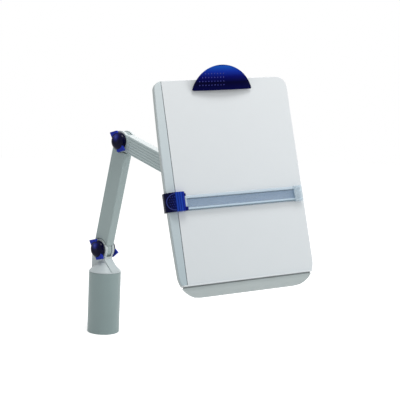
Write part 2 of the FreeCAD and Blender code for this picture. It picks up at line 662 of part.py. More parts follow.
def swivel_clip():
    """Open retaining ring in the groove at the pin's lower end."""
    outer = LUG_INNER + LUG_THICKNESS
    inner = PIN_RADIUS - CLIP_RING_THICKNESS / 2
    clip = ring(CLIP_RING_RADIUS, inner, -outer - CLIP_RING_THICKNESS, -outer, Z_AXIS, HEAD_REACH, 0)
    mouth = slab(HEAD_REACH, HEAD_REACH + 2 * CLIP_RING_RADIUS, -inner, inner, -2 * outer, 0)
    return clip.cut(mouth)


def swivel_washers():
    """Two thin washers between the lugs and the hub's barrel."""
    hole = PIN_RADIUS + PIN_GAP
    low = BARREL_HALF + FACE_GAP
    high = LUG_INNER
    return Part.makeCompound([ring(LUG_RADIUS - FACE_GAP, hole, low, high, Z_AXIS, HEAD_REACH, 0),
                              ring(LUG_RADIUS - FACE_GAP, hole, -high, -low, Z_AXIS, HEAD_REACH, 0)])


# Hub, drawn about the swivel pin with X towards the board

def swivel_hub():
    """Barrel on the swivel pin with a round flange that carries the board."""
    barrel = rod(LUG_RADIUS, -BARREL_HALF, BARREL_HALF, Z_AXIS)
    neck = rod(HUB_NECK, 0, FLANGE_BACK, X_AXIS)
    flange = rod(HUB_FLANGE_RADIUS, FLANGE_BACK, FLANGE_FRONT, X_AXIS)
    hub = union([barrel, neck, flange])
    rims = [edge for edge in hub.Edges
            if isinstance(edge.Curve, Part.Circle) and edge.Curve.Radius > HUB_FLANGE_RADIUS - FACE_GAP]
    hub = hub.makeChamfer(HUB_FLANGE / 5, rims)
    hole = rod(PIN_RADIUS + PIN_GAP / 2, -LUG_INNER, LUG_INNER, Z_AXIS)
    thread = rod(TURNTABLE_BOLT / 2 + THREAD_GAP, TURNTABLE_THREAD, HUB_REACH, X_AXIS)
    return hub.cut(hole).cut(thread)


def turntable_washer():
    """Large thin washer that the board turns on."""
    return ring(HUB_FLANGE_RADIUS - OVERRUN, TURNTABLE_BOLT / 2 + PIN_GAP, FLANGE_FRONT,
                FLANGE_FRONT + TURNTABLE_WASHER, X_AXIS)


# Board, drawn from a point of its front face near the turntable's axis: X right, Y back, Z up

def board_outline(inset, depth):
    """Closed outline of the board, drawn in by an inset, at a depth behind its front."""
    left = BOARD_LEFT + inset
    right = BOARD_RIGHT - inset
    top = BOARD_TOP - inset
    bottom = BOARD_BOTTOM + inset
    upper_left = BOARD_TOP_LEFT_ROUND - inset / 2
    upper_right = BOARD_TOP_RIGHT_ROUND - inset / 2
    lower = BOARD_BOTTOM_ROUND - inset

    def at(x, z):
        return Vector(x, depth, z)

    def corner(start, end, centre_x, centre_z, radius, sign_x, sign_z):
        share = radius / math.sqrt(2)
        middle = at(centre_x + sign_x * share, centre_z + sign_z * share)
        return Part.Arc(start, middle, end).toShape()

    a = at(left + upper_left, top)
    b = at(right - upper_right, top)
    c = at(right, top - upper_right)
    d = at(right, bottom + lower)
    e = at(right - lower, bottom)
    f = at(left + lower, bottom)
    g = at(left, bottom + lower)
    h = at(left, top - upper_left)
    bow = at(left - BOARD_BOW, (bottom + lower + top - upper_left) / 2)
    edges = [Part.makeLine(a, b),
             corner(b, c, right - upper_right, top - upper_right, upper_right, 1, 1),
             Part.makeLine(c, d),
             corner(d, e, right - lower, bottom + lower, lower, 1, -1),
             Part.makeLine(e, f),
             corner(f, g, left + lower, bottom + lower, lower, -1, -1),
             Part.Arc(g, bow, h).toShape(),
             corner(h, a, left + upper_left, top - upper_left, upper_left, -1, 1)]
    return Part.Wire(edges)


def board_slice(inset, y_from, y_to):
    """Straight-walled slice of the board between two depths."""
    return Part.Face(board_outline(inset, y_from)).extrude(Vector(0, y_to - y_from, 0))


def board_region(x_from, x_to, z_from, z_to):
    """Tall box over part of the board's face, to cut or keep it by."""
    return slab(x_from, x_to, -BOARD_DEPTH, 2 * BOARD_DEPTH, z_from, z_to)


def front_plate():
    """Flat sheet that the papers lie on."""
    plate = board_slice(0, 0, PLATE_THICKNESS)
    keep = board_region(PLATE_LEFT, BOARD_SPAN, LEDGE_TOP + COVER_GAP, 2 * BOARD_TOP)
    plate = plate.common(keep)
    front_edges = []
    for edge in plate.Edges:
        middle = edge.valueAt((edge.FirstParameter + edge.LastParameter) / 2)
        outer = middle.z > LEDGE_TOP + OVERRUN and middle.x > PLATE_LEFT + OVERRUN
        if abs(middle.y) < FACE_GAP and outer:
            front_edges.append(edge)
    return plate.makeFillet(PLATE_THICKNESS / 4, front_edges)


def side_track():
    """Bowed strip down the left edge that the line guide runs on."""
    strip = board_slice(0, 0, PLATE_THICKNESS)
    keep = board_region(-BOARD_SPAN, SEAM_LEFT, LEDGE_TOP + COVER_GAP, 2 * BOARD_TOP)
    strip = strip.common(keep)
    outer_edges = []
    for edge in strip.Edges:
        middle = edge.valueAt((edge.FirstParameter + edge.LastParameter) / 2)
        if abs(middle.y) < FACE_GAP and middle.z > LEDGE_TOP + OVERRUN and middle.x < SEAM_LEFT - OVERRUN:
            outer_edges.append(edge)
    return strip.makeFillet(PLATE_THICKNESS / 2, outer_edges)


def paper_ledge():
    """Lip along the foot of the board that papers stand on."""
    lip = slab(LEDGE_LEFT, LEDGE_RIGHT, -LEDGE_REACH, PLATE_THICKNESS, LEDGE_BOTTOM, LEDGE_TOP)
    lip = round_edges(lip, LEDGE_HEIGHT / 3, lambda d, m, n: abs(d.x) > 0.9 and m.y < 0)
    root = board_slice(0, 0, PLATE_THICKNESS).common(
        board_region(-BOARD_SPAN, BOARD_SPAN, LEDGE_BOTTOM, LEDGE_TOP))
    return union([lip.common(board_slice(0, -LEDGE_REACH, PLATE_THICKNESS)), root])


def front_frame():
    """Moulded frame behind the plate: a web with a wall round it and a slot for the line guide."""
    outer = board_slice(0, PLATE_THICKNESS, FRAME_DEPTH)
    inner = board_slice(FRAME_WALL, WEB_BACK, FRAME_DEPTH + OVERRUN)
    frame = outer.cut(inner)
    foot = board_region(-BOARD_SPAN, BOARD_SPAN, 2 * BOARD_BOTTOM, LEDGE_BOTTOM)
    slot = slab(SEAM_LEFT, PLATE_LEFT, -OVERRUN, FRAME_DEPTH, SLOT_BOTTOM, SLOT_TOP)
    frame = frame.cut(foot).cut(slot)
    pillars = [rod(PILLAR_RADIUS, WEB_BACK, FRAME_DEPTH, Y_AXIS, x, z) for x, z in cover_screw_places()]
    holes = [rod(SCREW_DIAMETER / 2 + PIN_GAP / 2, WEB_BACK + FRAME_WALL, 2 * FRAME_DEPTH, Y_AXIS, x, z)
             for x, z in cover_screw_places()]
    return union([frame] + pillars).cut(holes)


def cover_screw_places():
    """Places of the screws that hold the two halves of the housing together."""
    left = BOARD_MIDDLE - COVER_SCREW_X
    right = BOARD_MIDDLE + COVER_SCREW_X
    return [(left, COVER_SCREW_TOP), (right, COVER_SCREW_TOP), (left, COVER_SCREW_LOW), (right, COVER_SCREW_LOW)]


def back_cover():
    """Drafted rear shell of the housing."""
    outer = Part.makeLoft([board_outline(COVER_STEP, FRAME_DEPTH), board_outline(COVER_DRAFT, BOARD_DEPTH)],
                          True, True)
    rim = COVER_STEP + COVER_WALL
    cavity = Part.makeLoft([board_outline(rim, FRAME_DEPTH), board_outline(COVER_DRAFT + COVER_WALL,
                                                                            BOARD_DEPTH)], True, True)
    cavity = cavity.common(slab(-BOARD_SPAN, BOARD_SPAN, 0, BOARD_DEPTH - COVER_WALL,
                                2 * BOARD_BOTTOM, 2 * BOARD_TOP))
    shell = outer.cut(cavity)
    foot = board_region(-BOARD_SPAN, BOARD_SPAN, 2 * BOARD_BOTTOM, LEDGE_BOTTOM)
    shell = shell.cut(foot)
    inner_face = BOARD_DEPTH - COVER_WALL
    pillars = [rod(PILLAR_RADIUS, FRAME_DEPTH, inner_face, Y_AXIS, x, z)
               for x, z in cover_screw_places()]
    shell = union([shell] + pillars)
    cuts = [rod(TURNTABLE_BOLT / 2 + PIN_GAP, 0, 2 * BOARD_DEPTH, Y_AXIS, PIVOT_X, PIVOT_Z)]
    for x, z in cover_screw_places():
        cuts.append(rod(SCREW_DIAMETER / 2 + PIN_GAP, 0, 2 * BOARD_DEPTH, Y_AXIS, x, z))
        cuts.append(rod(SCREW_HEAD / 2 + FACE_GAP, BOARD_DEPTH - SCREW_HEAD_HEIGHT - FACE_GAP,
                        2 * BOARD_DEPTH, Y_AXIS, x, z))
    return shell.cut(cuts)


def cover_screws():
    """Four screws from the back cover into the front frame."""
    screws = []
    seat = BOARD_DEPTH - SCREW_HEAD_HEIGHT - FACE_GAP
    for x, z in cover_screw_places():
        shank = rod(SCREW_DIAMETER / 2, WEB_BACK + FRAME_WALL + FACE_GAP, seat, Y_AXIS, x, z)
        head = rod(SCREW_HEAD / 2, seat, seat + SCREW_HEAD_HEIGHT, Y_AXIS, x, z)
        screws.append(union([shank, head]))
    return Part.makeCompound(screws)


def boss_screw_places():
    """Places of the screws round the boss plate."""
    step = 2 * math.pi / BOSS_SCREWS
    return [(BOSS_SCREW_CIRCLE * math.cos(step * (i + 1 / 2)), BOSS_SCREW_CIRCLE * math.sin(step * (i + 1 / 2)))
            for i in range(BOSS_SCREWS)]


def pivot_boss():
    """Round plate screwed to the back cover, which the hub's flange turns against."""
    plate = ring(BOSS_PLATE_RADIUS, TURNTABLE_BOLT / 2 + PIN_GAP, BOARD_DEPTH, BOARD_DEPTH + BOSS_PLATE,
                 Y_AXIS)
    rims = [edge for edge in plate.Edges
            if isinstance(edge.Curve, Part.Circle) and edge.Curve.Radius > BOSS_PLATE_RADIUS - FACE_GAP
            and edge.CenterOfMass.y > BOARD_DEPTH + FACE_GAP]
    plate = plate.makeChamfer(BOSS_PLATE / 4, rims)
    cuts = []
    for x, z in boss_screw_places():
        cuts.append(rod(SCREW_DIAMETER / 2 + PIN_GAP, 0, 2 * BOARD_DEPTH, Y_AXIS, x, z))
        cuts.append(rod(SCREW_HEAD / 2 + PIN_GAP, BOARD_DEPTH + BOSS_PLATE - SCREW_HEAD_HEIGHT,
                        2 * BOARD_DEPTH, Y_AXIS, x, z))
    return plate.cut(cuts)


def boss_screws():
    """Countersunk ring of screws in the boss plate, biting into the back cover's wall."""
    screws = []
    seat = BOARD_DEPTH + BOSS_PLATE - SCREW_HEAD_HEIGHT
    for x, z in boss_screw_places():
        shank = rod(SCREW_DIAMETER / 2, BOARD_DEPTH, seat, Y_AXIS, x, z)
        head = rod(SCREW_HEAD / 2, seat, seat + SCREW_HEAD_HEIGHT, Y_AXIS, x, z)
        screws.append(union([shank, head]))
    return Part.makeCompound(screws)


def turntable_bolt():
    """Bolt from inside the housing into the hub, which the board turns round."""
    seat = BOARD_DEPTH - COVER_WALL - TURNTABLE_SPRING - FACE_GAP
    shank = rod(TURNTABLE_BOLT / 2, seat, HUB_REACH - TURNTABLE_THREAD - FACE_GAP, Y_AXIS)
    head = hexagon(TURNTABLE_HEAD, seat - TURNTABLE_HEAD_HEIGHT, seat)
    return union([shank, head])


def turntable_spring():
    """Spring washer under the turntable bolt's head."""
    inner_face = BOARD_DEPTH - COVER_WALL
    return ring(TURNTABLE_HEAD / 2, TURNTABLE_BOLT / 2 + PIN_GAP, inner_face - TURNTABLE_SPRING, inner_face,
                Y_AXIS)


# Drawer

def drawer_runners():
    """Two channel strips inside the back cover that the tray slides in."""
    runners = []
    low = LEDGE_BOTTOM
    high = TRAY_TOP + RUNNER_WIDTH
    inner = TRAY_HALF_WIDTH + FACE_GAP
    outer = inner + RUNNER_WALL
    back = BOARD_DEPTH - COVER_WALL
    for side in (-1, 1):
        wall_ends = sorted((side * inner, side * outer))
        floor_ends = sorted((side * (TRAY_HALF_WIDTH - RUNNER_WIDTH), side * outer))
        wall = slab(BOARD_MIDDLE + wall_ends[0], BOARD_MIDDLE + wall_ends[1],
                    TRAY_BACK - 2 * RUNNER_HEIGHT, back, low, high)
        floor = slab(BOARD_MIDDLE + floor_ends[0], BOARD_MIDDLE + floor_ends[1],
                     TRAY_BACK + FACE_GAP, back, low, high)
        runners.append(union([wall, floor]))
    return Part.makeCompound(runners)


def drawer_screw_places():
    """Places of the tray's fixing screws along its bottom wall."""
    return [BOARD_MIDDLE - DRAWER_SCREW_X, BOARD_MIDDLE + DRAWER_SCREW_X]


def drawer_tray():
    """Shallow tray, open to the front, with one divider."""
    bottom = DRAWER_TOP
    left = BOARD_MIDDLE - TRAY_HALF_WIDTH
    right = BOARD_MIDDLE + TRAY_HALF_WIDTH
    tray = slab(left, right, TRAY_FRONT, TRAY_BACK, bottom, TRAY_TOP)
    tray = round_edges(tray, 2 * TRAY_WALL, lambda d, m, n: abs(d.y) > 0.9 and m.z > bottom + OVERRUN)
    divider = BOARD_MIDDLE + TRAY_DIVIDER_X
    rooms = [slab(left + TRAY_WALL, divider - TRAY_WALL / 2, -OVERRUN, TRAY_BACK - TRAY_WALL,
                  bottom + TRAY_WALL, TRAY_TOP - TRAY_WALL),
             slab(divider + TRAY_WALL / 2, right - TRAY_WALL, -OVERRUN, TRAY_BACK - TRAY_WALL,
                  bottom + TRAY_WALL, TRAY_TOP - TRAY_WALL)]
    holes = [rod(SCREW_DIAMETER / 2 + PIN_GAP, bottom - OVERRUN, bottom + OVERRUN + TRAY_WALL, Z_AXIS,
                 x, drawer_screw_depth()) for x in drawer_screw_places()]
    return tray.cut(rooms + holes)


def drawer_screw_depth():
    """Depth of the tray's fixing screws: the middle of its bottom wall."""
    return (TRAY_FRONT + TRAY_BACK) / 2


def drawer_front():
    """Rounded nose along the board's lower edge, which the hand pulls."""
    outline = board_slice(0, 0, BOARD_DEPTH)
    drafted = Part.makeLoft([board_outline(COVER_STEP, FRAME_DEPTH), board_outline(COVER_DRAFT, BOARD_DEPTH)],
                            True, True)
    outline = outline.common(slab(-BOARD_SPAN, BOARD_SPAN, 0, FRAME_DEPTH,
                                  2 * BOARD_BOTTOM, 0)).fuse(drafted)
    height = DRAWER_TOP - BOARD_BOTTOM
    start = Vector(0, DRAWER_FRONT_LIP, DRAWER_TOP)
    middle = Vector(0, DRAWER_FRONT_LIP + (DRAWER_NOSE_DEPTH - DRAWER_FRONT_LIP) * DRAWER_NOSE_SHARE,
                    BOARD_BOTTOM + height * DRAWER_NOSE_SHARE)
    nose = Vector(0, DRAWER_NOSE_DEPTH, BOARD_BOTTOM)
    back_low = Vector(0, BOARD_DEPTH, BOARD_BOTTOM + DRAWER_BACK_RISE)
    back_high = Vector(0, BOARD_DEPTH, DRAWER_TOP)
    edges = [Part.Arc(start, middle, nose).toShape(), Part.makeLine(nose, back_low),
             Part.makeLine(back_low, back_high), Part.makeLine(back_high, start)]
    profile = Part.Face(Part.Wire(edges))
    profile.translate(Vector(-BOARD_SPAN, 0, 0))
    bar = profile.extrude(Vector(2 * BOARD_SPAN, 0, 0))
    front = bar.common(outline)
    holes = [rod(SCREW_DIAMETER / 2 + PIN_GAP / 2, DRAWER_TOP - SCREW_LENGTH, DRAWER_TOP + OVERRUN, Z_AXIS,
                 x, drawer_screw_depth()) for x in drawer_screw_places()]
    return front.cut(holes).removeSplitter()


def drawer_screws():
    """Two screws from inside the tray into the drawer's front."""
    screws = []
    seat = DRAWER_TOP + TRAY_WALL
    for x in drawer_screw_places():
        shank = rod(SCREW_DIAMETER / 2, DRAWER_TOP - SCREW_LENGTH, seat, Z_AXIS, x, drawer_screw_depth())
        head = rod(SCREW_HEAD / 2, seat, seat + SCREW_HEAD_HEIGHT, Z_AXIS, x, drawer_screw_depth())
        screws.append(union([shank, head]))
    return Part.makeCompound(screws)


# Line guide

def guide_slider():
    """Grip that wraps the board's left edge, with ridges in front and a blade through the slot."""
    inner_left = BOARD_LEFT - BOARD_BOW - FACE_GAP
    points = [(SLIDER_RIGHT, -FACE_GAP), (SLIDER_RIGHT, -SLIDER_FRONT + SLIDER_ROUND),
              (SLIDER_RIGHT - SLIDER_ROUND, -SLIDER_FRONT), (SLIDER_FOLD, -SLIDER_FRONT),
              (SLIDER_LEFT + SLIDER_EDGE, -SLIDER_EDGE_RISE), (SLIDER_LEFT, SLIDER_EDGE),
              (SLIDER_LEFT, SLIDER_BACK), (inner_left, SLIDER_BACK), (inner_left, -FACE_GAP)]
    corners = [Vector(x, y, SLIDER_BOTTOM) for x, y in points]
    face = Part.Face(Part.makePolygon(corners + corners[:1]))
    body = face.extrude(Vector(0, 0, SLIDER_HEIGHT))
    blade = slab(SEAM_MIDDLE - BLADE_THICKNESS / 2, SEAM_MIDDLE + BLADE_THICKNESS / 2,
                 -SLIDER_FRONT / 2, WEB_BACK + FACE_GAP + FOOT_THICKNESS,
                 SLIDER_MIDDLE - BLADE_HEIGHT / 2, SLIDER_MIDDLE + BLADE_HEIGHT / 2)
    socket = slab(SLIDER_RIGHT - GUIDE_ROOT, SLIDER_RIGHT + OVERRUN, -GUIDE_NEAR - GUIDE_THICKNESS,
                  -GUIDE_NEAR, GUIDE_BOTTOM, GUIDE_TOP)
    grooves = []
    pitch = (SLIDER_RIGHT - SLIDER_FOLD) / (SLIDER_RIDGES + 1)
    for i in range(SLIDER_RIDGES):
        x = SLIDER_FOLD + pitch * (i + 1)
        grooves.append(slab(x - SLIDER_RIDGE, x, -2 * SLIDER_FRONT, -SLIDER_FRONT + SLIDER_RIDGE,
                            SLIDER_BOTTOM - OVERRUN, SLIDER_TOP + OVERRUN))
    return union([body, blade]).cut([socket] + grooves)


def guide_foot():
    """Plate behind the web that keeps the blade in its slot."""
    near = WEB_BACK + FACE_GAP
    plate = slab(SEAM_MIDDLE - FOOT_WIDTH / 2, SEAM_MIDDLE + FOOT_WIDTH / 2, near, near + FOOT_THICKNESS,
                 SLIDER_MIDDLE - BLADE_HEIGHT / 2 - OVERRUN, SLIDER_MIDDLE + BLADE_HEIGHT / 2 + OVERRUN)
    blade = slab(SEAM_MIDDLE - BLADE_THICKNESS / 2, SEAM_MIDDLE + BLADE_THICKNESS / 2, 0, FRAME_DEPTH,
                 SLIDER_MIDDLE - BLADE_HEIGHT / 2, SLIDER_MIDDLE + BLADE_HEIGHT / 2)
    return plate.cut(blade)


def line_guide():
    """Clear bar across the board with a raised rail along each long edge."""
    left = SLIDER_RIGHT - GUIDE_ROOT
    bar = slab(left, GUIDE_RIGHT, -GUIDE_NEAR - GUIDE_THICKNESS, -GUIDE_NEAR, GUIDE_BOTTOM, GUIDE_TOP)
    rail_left = SLIDER_RIGHT + FACE_GAP
    front = -GUIDE_NEAR - GUIDE_THICKNESS - GUIDE_RAIL_RISE
    rails = [slab(rail_left, GUIDE_RIGHT, front, -GUIDE_NEAR, GUIDE_TOP - GUIDE_RAIL, GUIDE_TOP),
             slab(rail_left, GUIDE_RIGHT, front, -GUIDE_NEAR, GUIDE_BOTTOM, GUIDE_BOTTOM + GUIDE_RAIL)]
    guide = union([bar] + rails)
    return round_edges(guide, GUIDE_RAIL_RISE / 2,
                       lambda d, m, n: abs(d.x) > 0.9 and m.y < front + FACE_GAP)


def guide_end_cap():
    """Clear end block pushed over the bar's free end."""
    left = GUIDE_RIGHT - END_CAP_OVERLAP
    front = -GUIDE_NEAR - GUIDE_THICKNESS - GUIDE_RAIL_RISE - END_CAP_WALL
    block = slab(left, left + END_CAP_LENGTH, front, -GUIDE_NEAR + END_CAP_WALL,
                 GUIDE_BOTTOM - END_CAP_WALL, GUIDE_TOP + END_CAP_WALL)
    block = round_edges(block, END_CAP_WALL, lambda d, m, n: abs(d.y) > 0.9)
    return block.cut(line_guide())


# Clip

def clip_dish(near):
    """Dished disc as thick as the clip's wall, its rim's back face at a depth, about the clip's centre."""
    rim = CLIP_RADIUS
    inner = rim - CLIP_RIM
    far = near - CLIP_WALL
    share = 3 / 4
    edges = [Part.makeLine(Vector(rim, far, 0), Vector(inner, far, 0)),
             Part.Arc(Vector(inner, far, 0), Vector(inner / 2, far - CLIP_CROWN * share, 0),
                      Vector(0, far - CLIP_CROWN, 0)).toShape(),
             Part.makeLine(Vector(0, far - CLIP_CROWN, 0), Vector(0, near - CLIP_CROWN, 0)),
             Part.Arc(Vector(0, near - CLIP_CROWN, 0), Vector(inner / 2, near - CLIP_CROWN * share, 0),
                      Vector(inner, near, 0)).toShape(),
             Part.makeLine(Vector(inner, near, 0), Vector(rim, near, 0)),
             Part.makeLine(Vector(rim, near, 0), Vector(rim, far, 0))]
    dish = Part.Face(Part.Wire(edges)).revolve(Vector(0, 0, 0), Y_AXIS, 360)
    dish.translate(Vector(0, 0, CLIP_CENTRE))
    return dish


def clip_front_room():
    """Room in front of the clip's wall, its bound running halfway through the wall."""
    inner = CLIP_RADIUS - CLIP_RIM
    near = -CLIP_WALL / 2
    share = 3 / 4
    front = 4 * CLIP_CROWN
    edges = [Part.Arc(Vector(inner, near, 0), Vector(inner / 2, near - CLIP_CROWN * share, 0),
                      Vector(0, near - CLIP_CROWN, 0)).toShape(),
             Part.makeLine(Vector(0, near - CLIP_CROWN, 0), Vector(0, -front, 0)),
             Part.makeLine(Vector(0, -front, 0), Vector(inner, -front, 0)),
             Part.makeLine(Vector(inner, -front, 0), Vector(inner, near, 0))]
    room = Part.Face(Part.Wire(edges)).revolve(Vector(0, 0, 0), Y_AXIS, 360)
    room.translate(Vector(0, 0, CLIP_CENTRE))
    return room


def clip_pin_spot():
    """Middle of the clip's pin, as a point of the clip's own tilted frame."""
    spot = Vector(CLIP_X, CLIP_PIN_Y, CLIP_PIN_Z)
    return CLIP_TURN.inverse().multVec(spot)


def clip_plate():
    """Thumb plate: the upper segment of a dished disc, with two lugs behind it for the pin."""
    keep = slab(-2 * CLIP_RADIUS, 2 * CLIP_RADIUS, -2 * CLIP_RADIUS, 2 * CLIP_RADIUS, 0, 2 * CLIP_RADIUS)
    plate = clip_dish(0).common(keep)
    plate = round_edges(plate, CLIP_CORNER, lambda d, m, n: abs(d.y) > 0.9 and abs(m.x) > CLIP_HALF_CHORD / 2)
    spot = clip_pin_spot()
    lugs = []
    for side in (-1, 1):
        ends = sorted((side * CLIP_LUG_X, side * (CLIP_LUG_X - CLIP_LUG_WIDTH)))
        arm = slab(ends[0], ends[1], -2 * CLIP_CROWN, spot.y, spot.z - CLIP_LUG_RADIUS,
                   spot.z + CLIP_LUG_RADIUS)
        eye = rod(CLIP_LUG_RADIUS, ends[0], ends[1], X_AXIS, spot.y, spot.z)
        lugs.append(union([arm, eye]).cut(clip_front_room()))
    plate = union([plate] + lugs)
    hole = rod(CLIP_PIN_DIAMETER / 2 + PIN_GAP / 2, -CLIP_RADIUS, CLIP_RADIUS, X_AXIS, spot.y, spot.z)
    return plate.cut(hole)


def clip_grip():
    """Soft strip behind the clip's lower edge that presses on the paper."""
    bar = slab(-CLIP_GRIP_HALF, CLIP_GRIP_HALF, -2 * CLIP_CROWN, CLIP_GRIP_THICKNESS / 2,
               0, CLIP_GRIP_HEIGHT)
    behind = clip_front_room()
    behind.translate(Vector(0, CLIP_WALL / 2, 0))
    return bar.cut(behind)


def clip_bracket():
    """Bracket on the board's top wall with two ears for the clip's pin."""
    half = CLIP_LUG_X + FACE_GAP + BRACKET_LUG_WIDTH
    base = slab(CLIP_X - half, CLIP_X + half, BRACKET_FRONT, BRACKET_BACK, BOARD_TOP,
                BOARD_TOP + BRACKET_BASE)
    parts = [base]
    for side in (-1, 1):
        ends = sorted((side * (CLIP_LUG_X + FACE_GAP), side * half))
        x_from = CLIP_X + ends[0]
        x_to = CLIP_X + ends[1]
        ear = slab(x_from, x_to, CLIP_PIN_Y - BRACKET_LUG_RADIUS, CLIP_PIN_Y + BRACKET_LUG_RADIUS,
                   BOARD_TOP + BRACKET_BASE / 2, CLIP_PIN_Z)
        parts.append(ear)
        parts.append(rod(BRACKET_LUG_RADIUS, x_from, x_to, X_AXIS, CLIP_PIN_Y, CLIP_PIN_Z))
    bracket = union(parts)
    cuts = [rod(CLIP_PIN_DIAMETER / 2, -BOARD_SPAN, BOARD_SPAN, X_AXIS, CLIP_PIN_Y, CLIP_PIN_Z)]
    for side in (-1, 1):
        ends = sorted((side * (CLIP_LUG_X + FACE_GAP), side * (CLIP_LUG_X - CLIP_LUG_WIDTH - FACE_GAP)))
        cuts.append(slab(CLIP_X + ends[0], CLIP_X + ends[1], BRACKET_FRONT - OVERRUN,
                         CLIP_PIN_Y + CLIP_PIN_DIAMETER / 2, BOARD_TOP - OVERRUN, BOARD_TOP + 2 * BRACKET_BASE))
    return bracket.cut(cuts)


def clip_pin():
    """Steel pin through the bracket's ears and the clip's lugs."""
    half = CLIP_LUG_X + FACE_GAP + BRACKET_LUG_WIDTH + CLIP_PIN_END
    return rod(CLIP_PIN_DIAMETER / 2, CLIP_X - half, CLIP_X + half, X_AXIS, CLIP_PIN_Y, CLIP_PIN_Z)


# Build

NODES = []


def add(name, shape, frame):
    """Place a shape by its frame and write it as one STEP file."""
    placed = shape.copy()
    placed.Placement = frame.multiply(placed.Placement)
    NODES.append((name, placed))
    placed.exportStep(os.path.join("parts", name + ".step"))


def add_knuckle(name, frame):
    """Bolt, knobs, nut and washers of one arm pivot."""
    add(name + "_bolt", knuckle_bolt(), frame)
    add(name + "_knob", near_knob(), frame)
    add(name + "_nut", knob_nut(), frame)
    add(name + "_back_knob", far_knob(), frame)
    add(name + "_washers", knuckle_washers(), frame)


def build():
    """Make every node."""
    os.makedirs("parts", exist_ok=True)
    ground = Placement()
    add("column_tube", column_tube(), ground)
    add("column_bush", column_bush(), ground)
    add("bearing_plate", bearing_plate(), ground)
    add("friction_disc", friction_disc(), ground)
    add("swivel_cap", swivel_cap(), ARM_FRAME)
    add("cap_insert", cap_insert(), ARM_FRAME)
    add("swivel_bolt", swivel_bolt(), ARM_FRAME)
    add("swivel_spring_washer", swivel_spring_washer(), ARM_FRAME)
    add_knuckle("shoulder", SHOULDER_FRAME)
    add("lower_arm", lower_arm(), LOWER_FRAME)
    add("lower_arm_cover", lower_arm_cover(), LOWER_FRAME)
    level = Rotation(Y_AXIS, -UPPER_FALL)
    add_knuckle("elbow", UPPER_FRAME * Placement(Vector(0, 0, 0), level))
    add("upper_arm", upper_arm(), UPPER_FRAME)
    add("upper_arm_cover", upper_arm_cover(), UPPER_FRAME)
    add_knuckle("wrist", UPPER_FRAME * Placement(Vector(UPPER_LENGTH, 0, 0), level))
    add("head_block", head_block(), HEAD_FRAME)
    add("swivel_pin", swivel_pin(), HEAD_FRAME)
    add("swivel_clip", swivel_clip(), HEAD_FRAME)
    add("swivel_washers", swivel_washers(), HEAD_FRAME)
    add("swivel_hub", swivel_hub(), HUB_FRAME)
    add("turntable_washer", turntable_washer(), HUB_FRAME)
    add("pivot_boss", pivot_boss(), TURN_FRAME)
    add("boss_screws", boss_screws(), TURN_FRAME)
    add("turntable_bolt", turntable_bolt(), TURN_FRAME)
    add("turntable_spring", turntable_spring(), TURN_FRAME)
    add("front_plate", front_plate(), BOARD_FRAME)
    add("side_track", side_track(), BOARD_FRAME)
    add("paper_ledge", paper_ledge(), BOARD_FRAME)
    add("front_frame", front_frame(), BOARD_FRAME)
    add("back_cover", back_cover(), BOARD_FRAME)
    add("cover_screws", cover_screws(), BOARD_FRAME)
    add("drawer_runners", drawer_runners(), BOARD_FRAME)
    add("drawer_tray", drawer_tray(), BOARD_FRAME)
    add("drawer_front", drawer_front(), BOARD_FRAME)
    add("drawer_screws", drawer_screws(), BOARD_FRAME)
    add("guide_slider", guide_slider(), BOARD_FRAME)
    add("guide_foot", guide_foot(), BOARD_FRAME)
    add("line_guide", line_guide(), BOARD_FRAME)
    add("guide_end_cap", guide_end_cap(), BOARD_FRAME)
    add("clip_plate", clip_plate(), CLIP_FRAME)
    add("clip_grip", clip_grip(), CLIP_FRAME)
    add("clip_bracket", clip_bracket(), BOARD_FRAME)
    add("clip_pin", clip_pin(), BOARD_FRAME)


build()
for node_name, node_shape in NODES:
    if not node_shape.isValid():
        print("not valid:", node_name)
print("nodes:", len(NODES))
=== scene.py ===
import json
import math

import bmesh
import bpy
from mathutils import Matrix, Vector
from mathutils.bvhtree import BVHTree


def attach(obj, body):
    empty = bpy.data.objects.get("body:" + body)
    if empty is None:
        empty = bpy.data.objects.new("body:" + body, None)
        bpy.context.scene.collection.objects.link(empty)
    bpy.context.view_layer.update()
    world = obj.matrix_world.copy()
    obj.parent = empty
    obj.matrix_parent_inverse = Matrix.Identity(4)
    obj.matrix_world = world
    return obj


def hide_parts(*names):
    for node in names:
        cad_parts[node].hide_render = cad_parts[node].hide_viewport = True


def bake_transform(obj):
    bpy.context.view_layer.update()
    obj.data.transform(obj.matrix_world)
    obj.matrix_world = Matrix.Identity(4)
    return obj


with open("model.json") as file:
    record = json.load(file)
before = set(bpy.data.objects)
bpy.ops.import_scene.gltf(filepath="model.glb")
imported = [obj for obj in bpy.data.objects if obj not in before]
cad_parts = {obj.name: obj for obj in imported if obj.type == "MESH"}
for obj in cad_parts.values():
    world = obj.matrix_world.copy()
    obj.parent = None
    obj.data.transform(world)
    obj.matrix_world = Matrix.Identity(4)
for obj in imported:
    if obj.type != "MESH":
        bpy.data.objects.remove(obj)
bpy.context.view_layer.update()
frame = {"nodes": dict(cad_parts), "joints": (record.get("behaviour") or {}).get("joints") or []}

nodes = frame["nodes"]


# Camera. It stands to the left of the board's front, a little above it, at the height and slight
# roll that the photograph's column and board edges give.
camera_data = bpy.data.cameras.new("camera")
camera_data.sensor_width = 36.0
camera_data.lens = 81.0
camera_data.clip_end = 20.0
camera = bpy.data.objects.new("camera", camera_data)
bpy.context.scene.collection.objects.link(camera)
right = Vector((0.94133, -0.33470, 0.04334))
up = Vector((-0.00261, 0.12119, 0.99263))
forward = Vector((0.33748, 0.93450, -0.11320))
camera_spot = (-0.37736, -1.52044, 0.41825)
camera_turn = Matrix((right, up, -forward)).transposed().to_4x4()
camera.matrix_world = Matrix.Translation(camera_spot) @ camera_turn
bpy.context.scene.camera = camera
bpy.context.scene.view_settings.view_transform = "Standard"


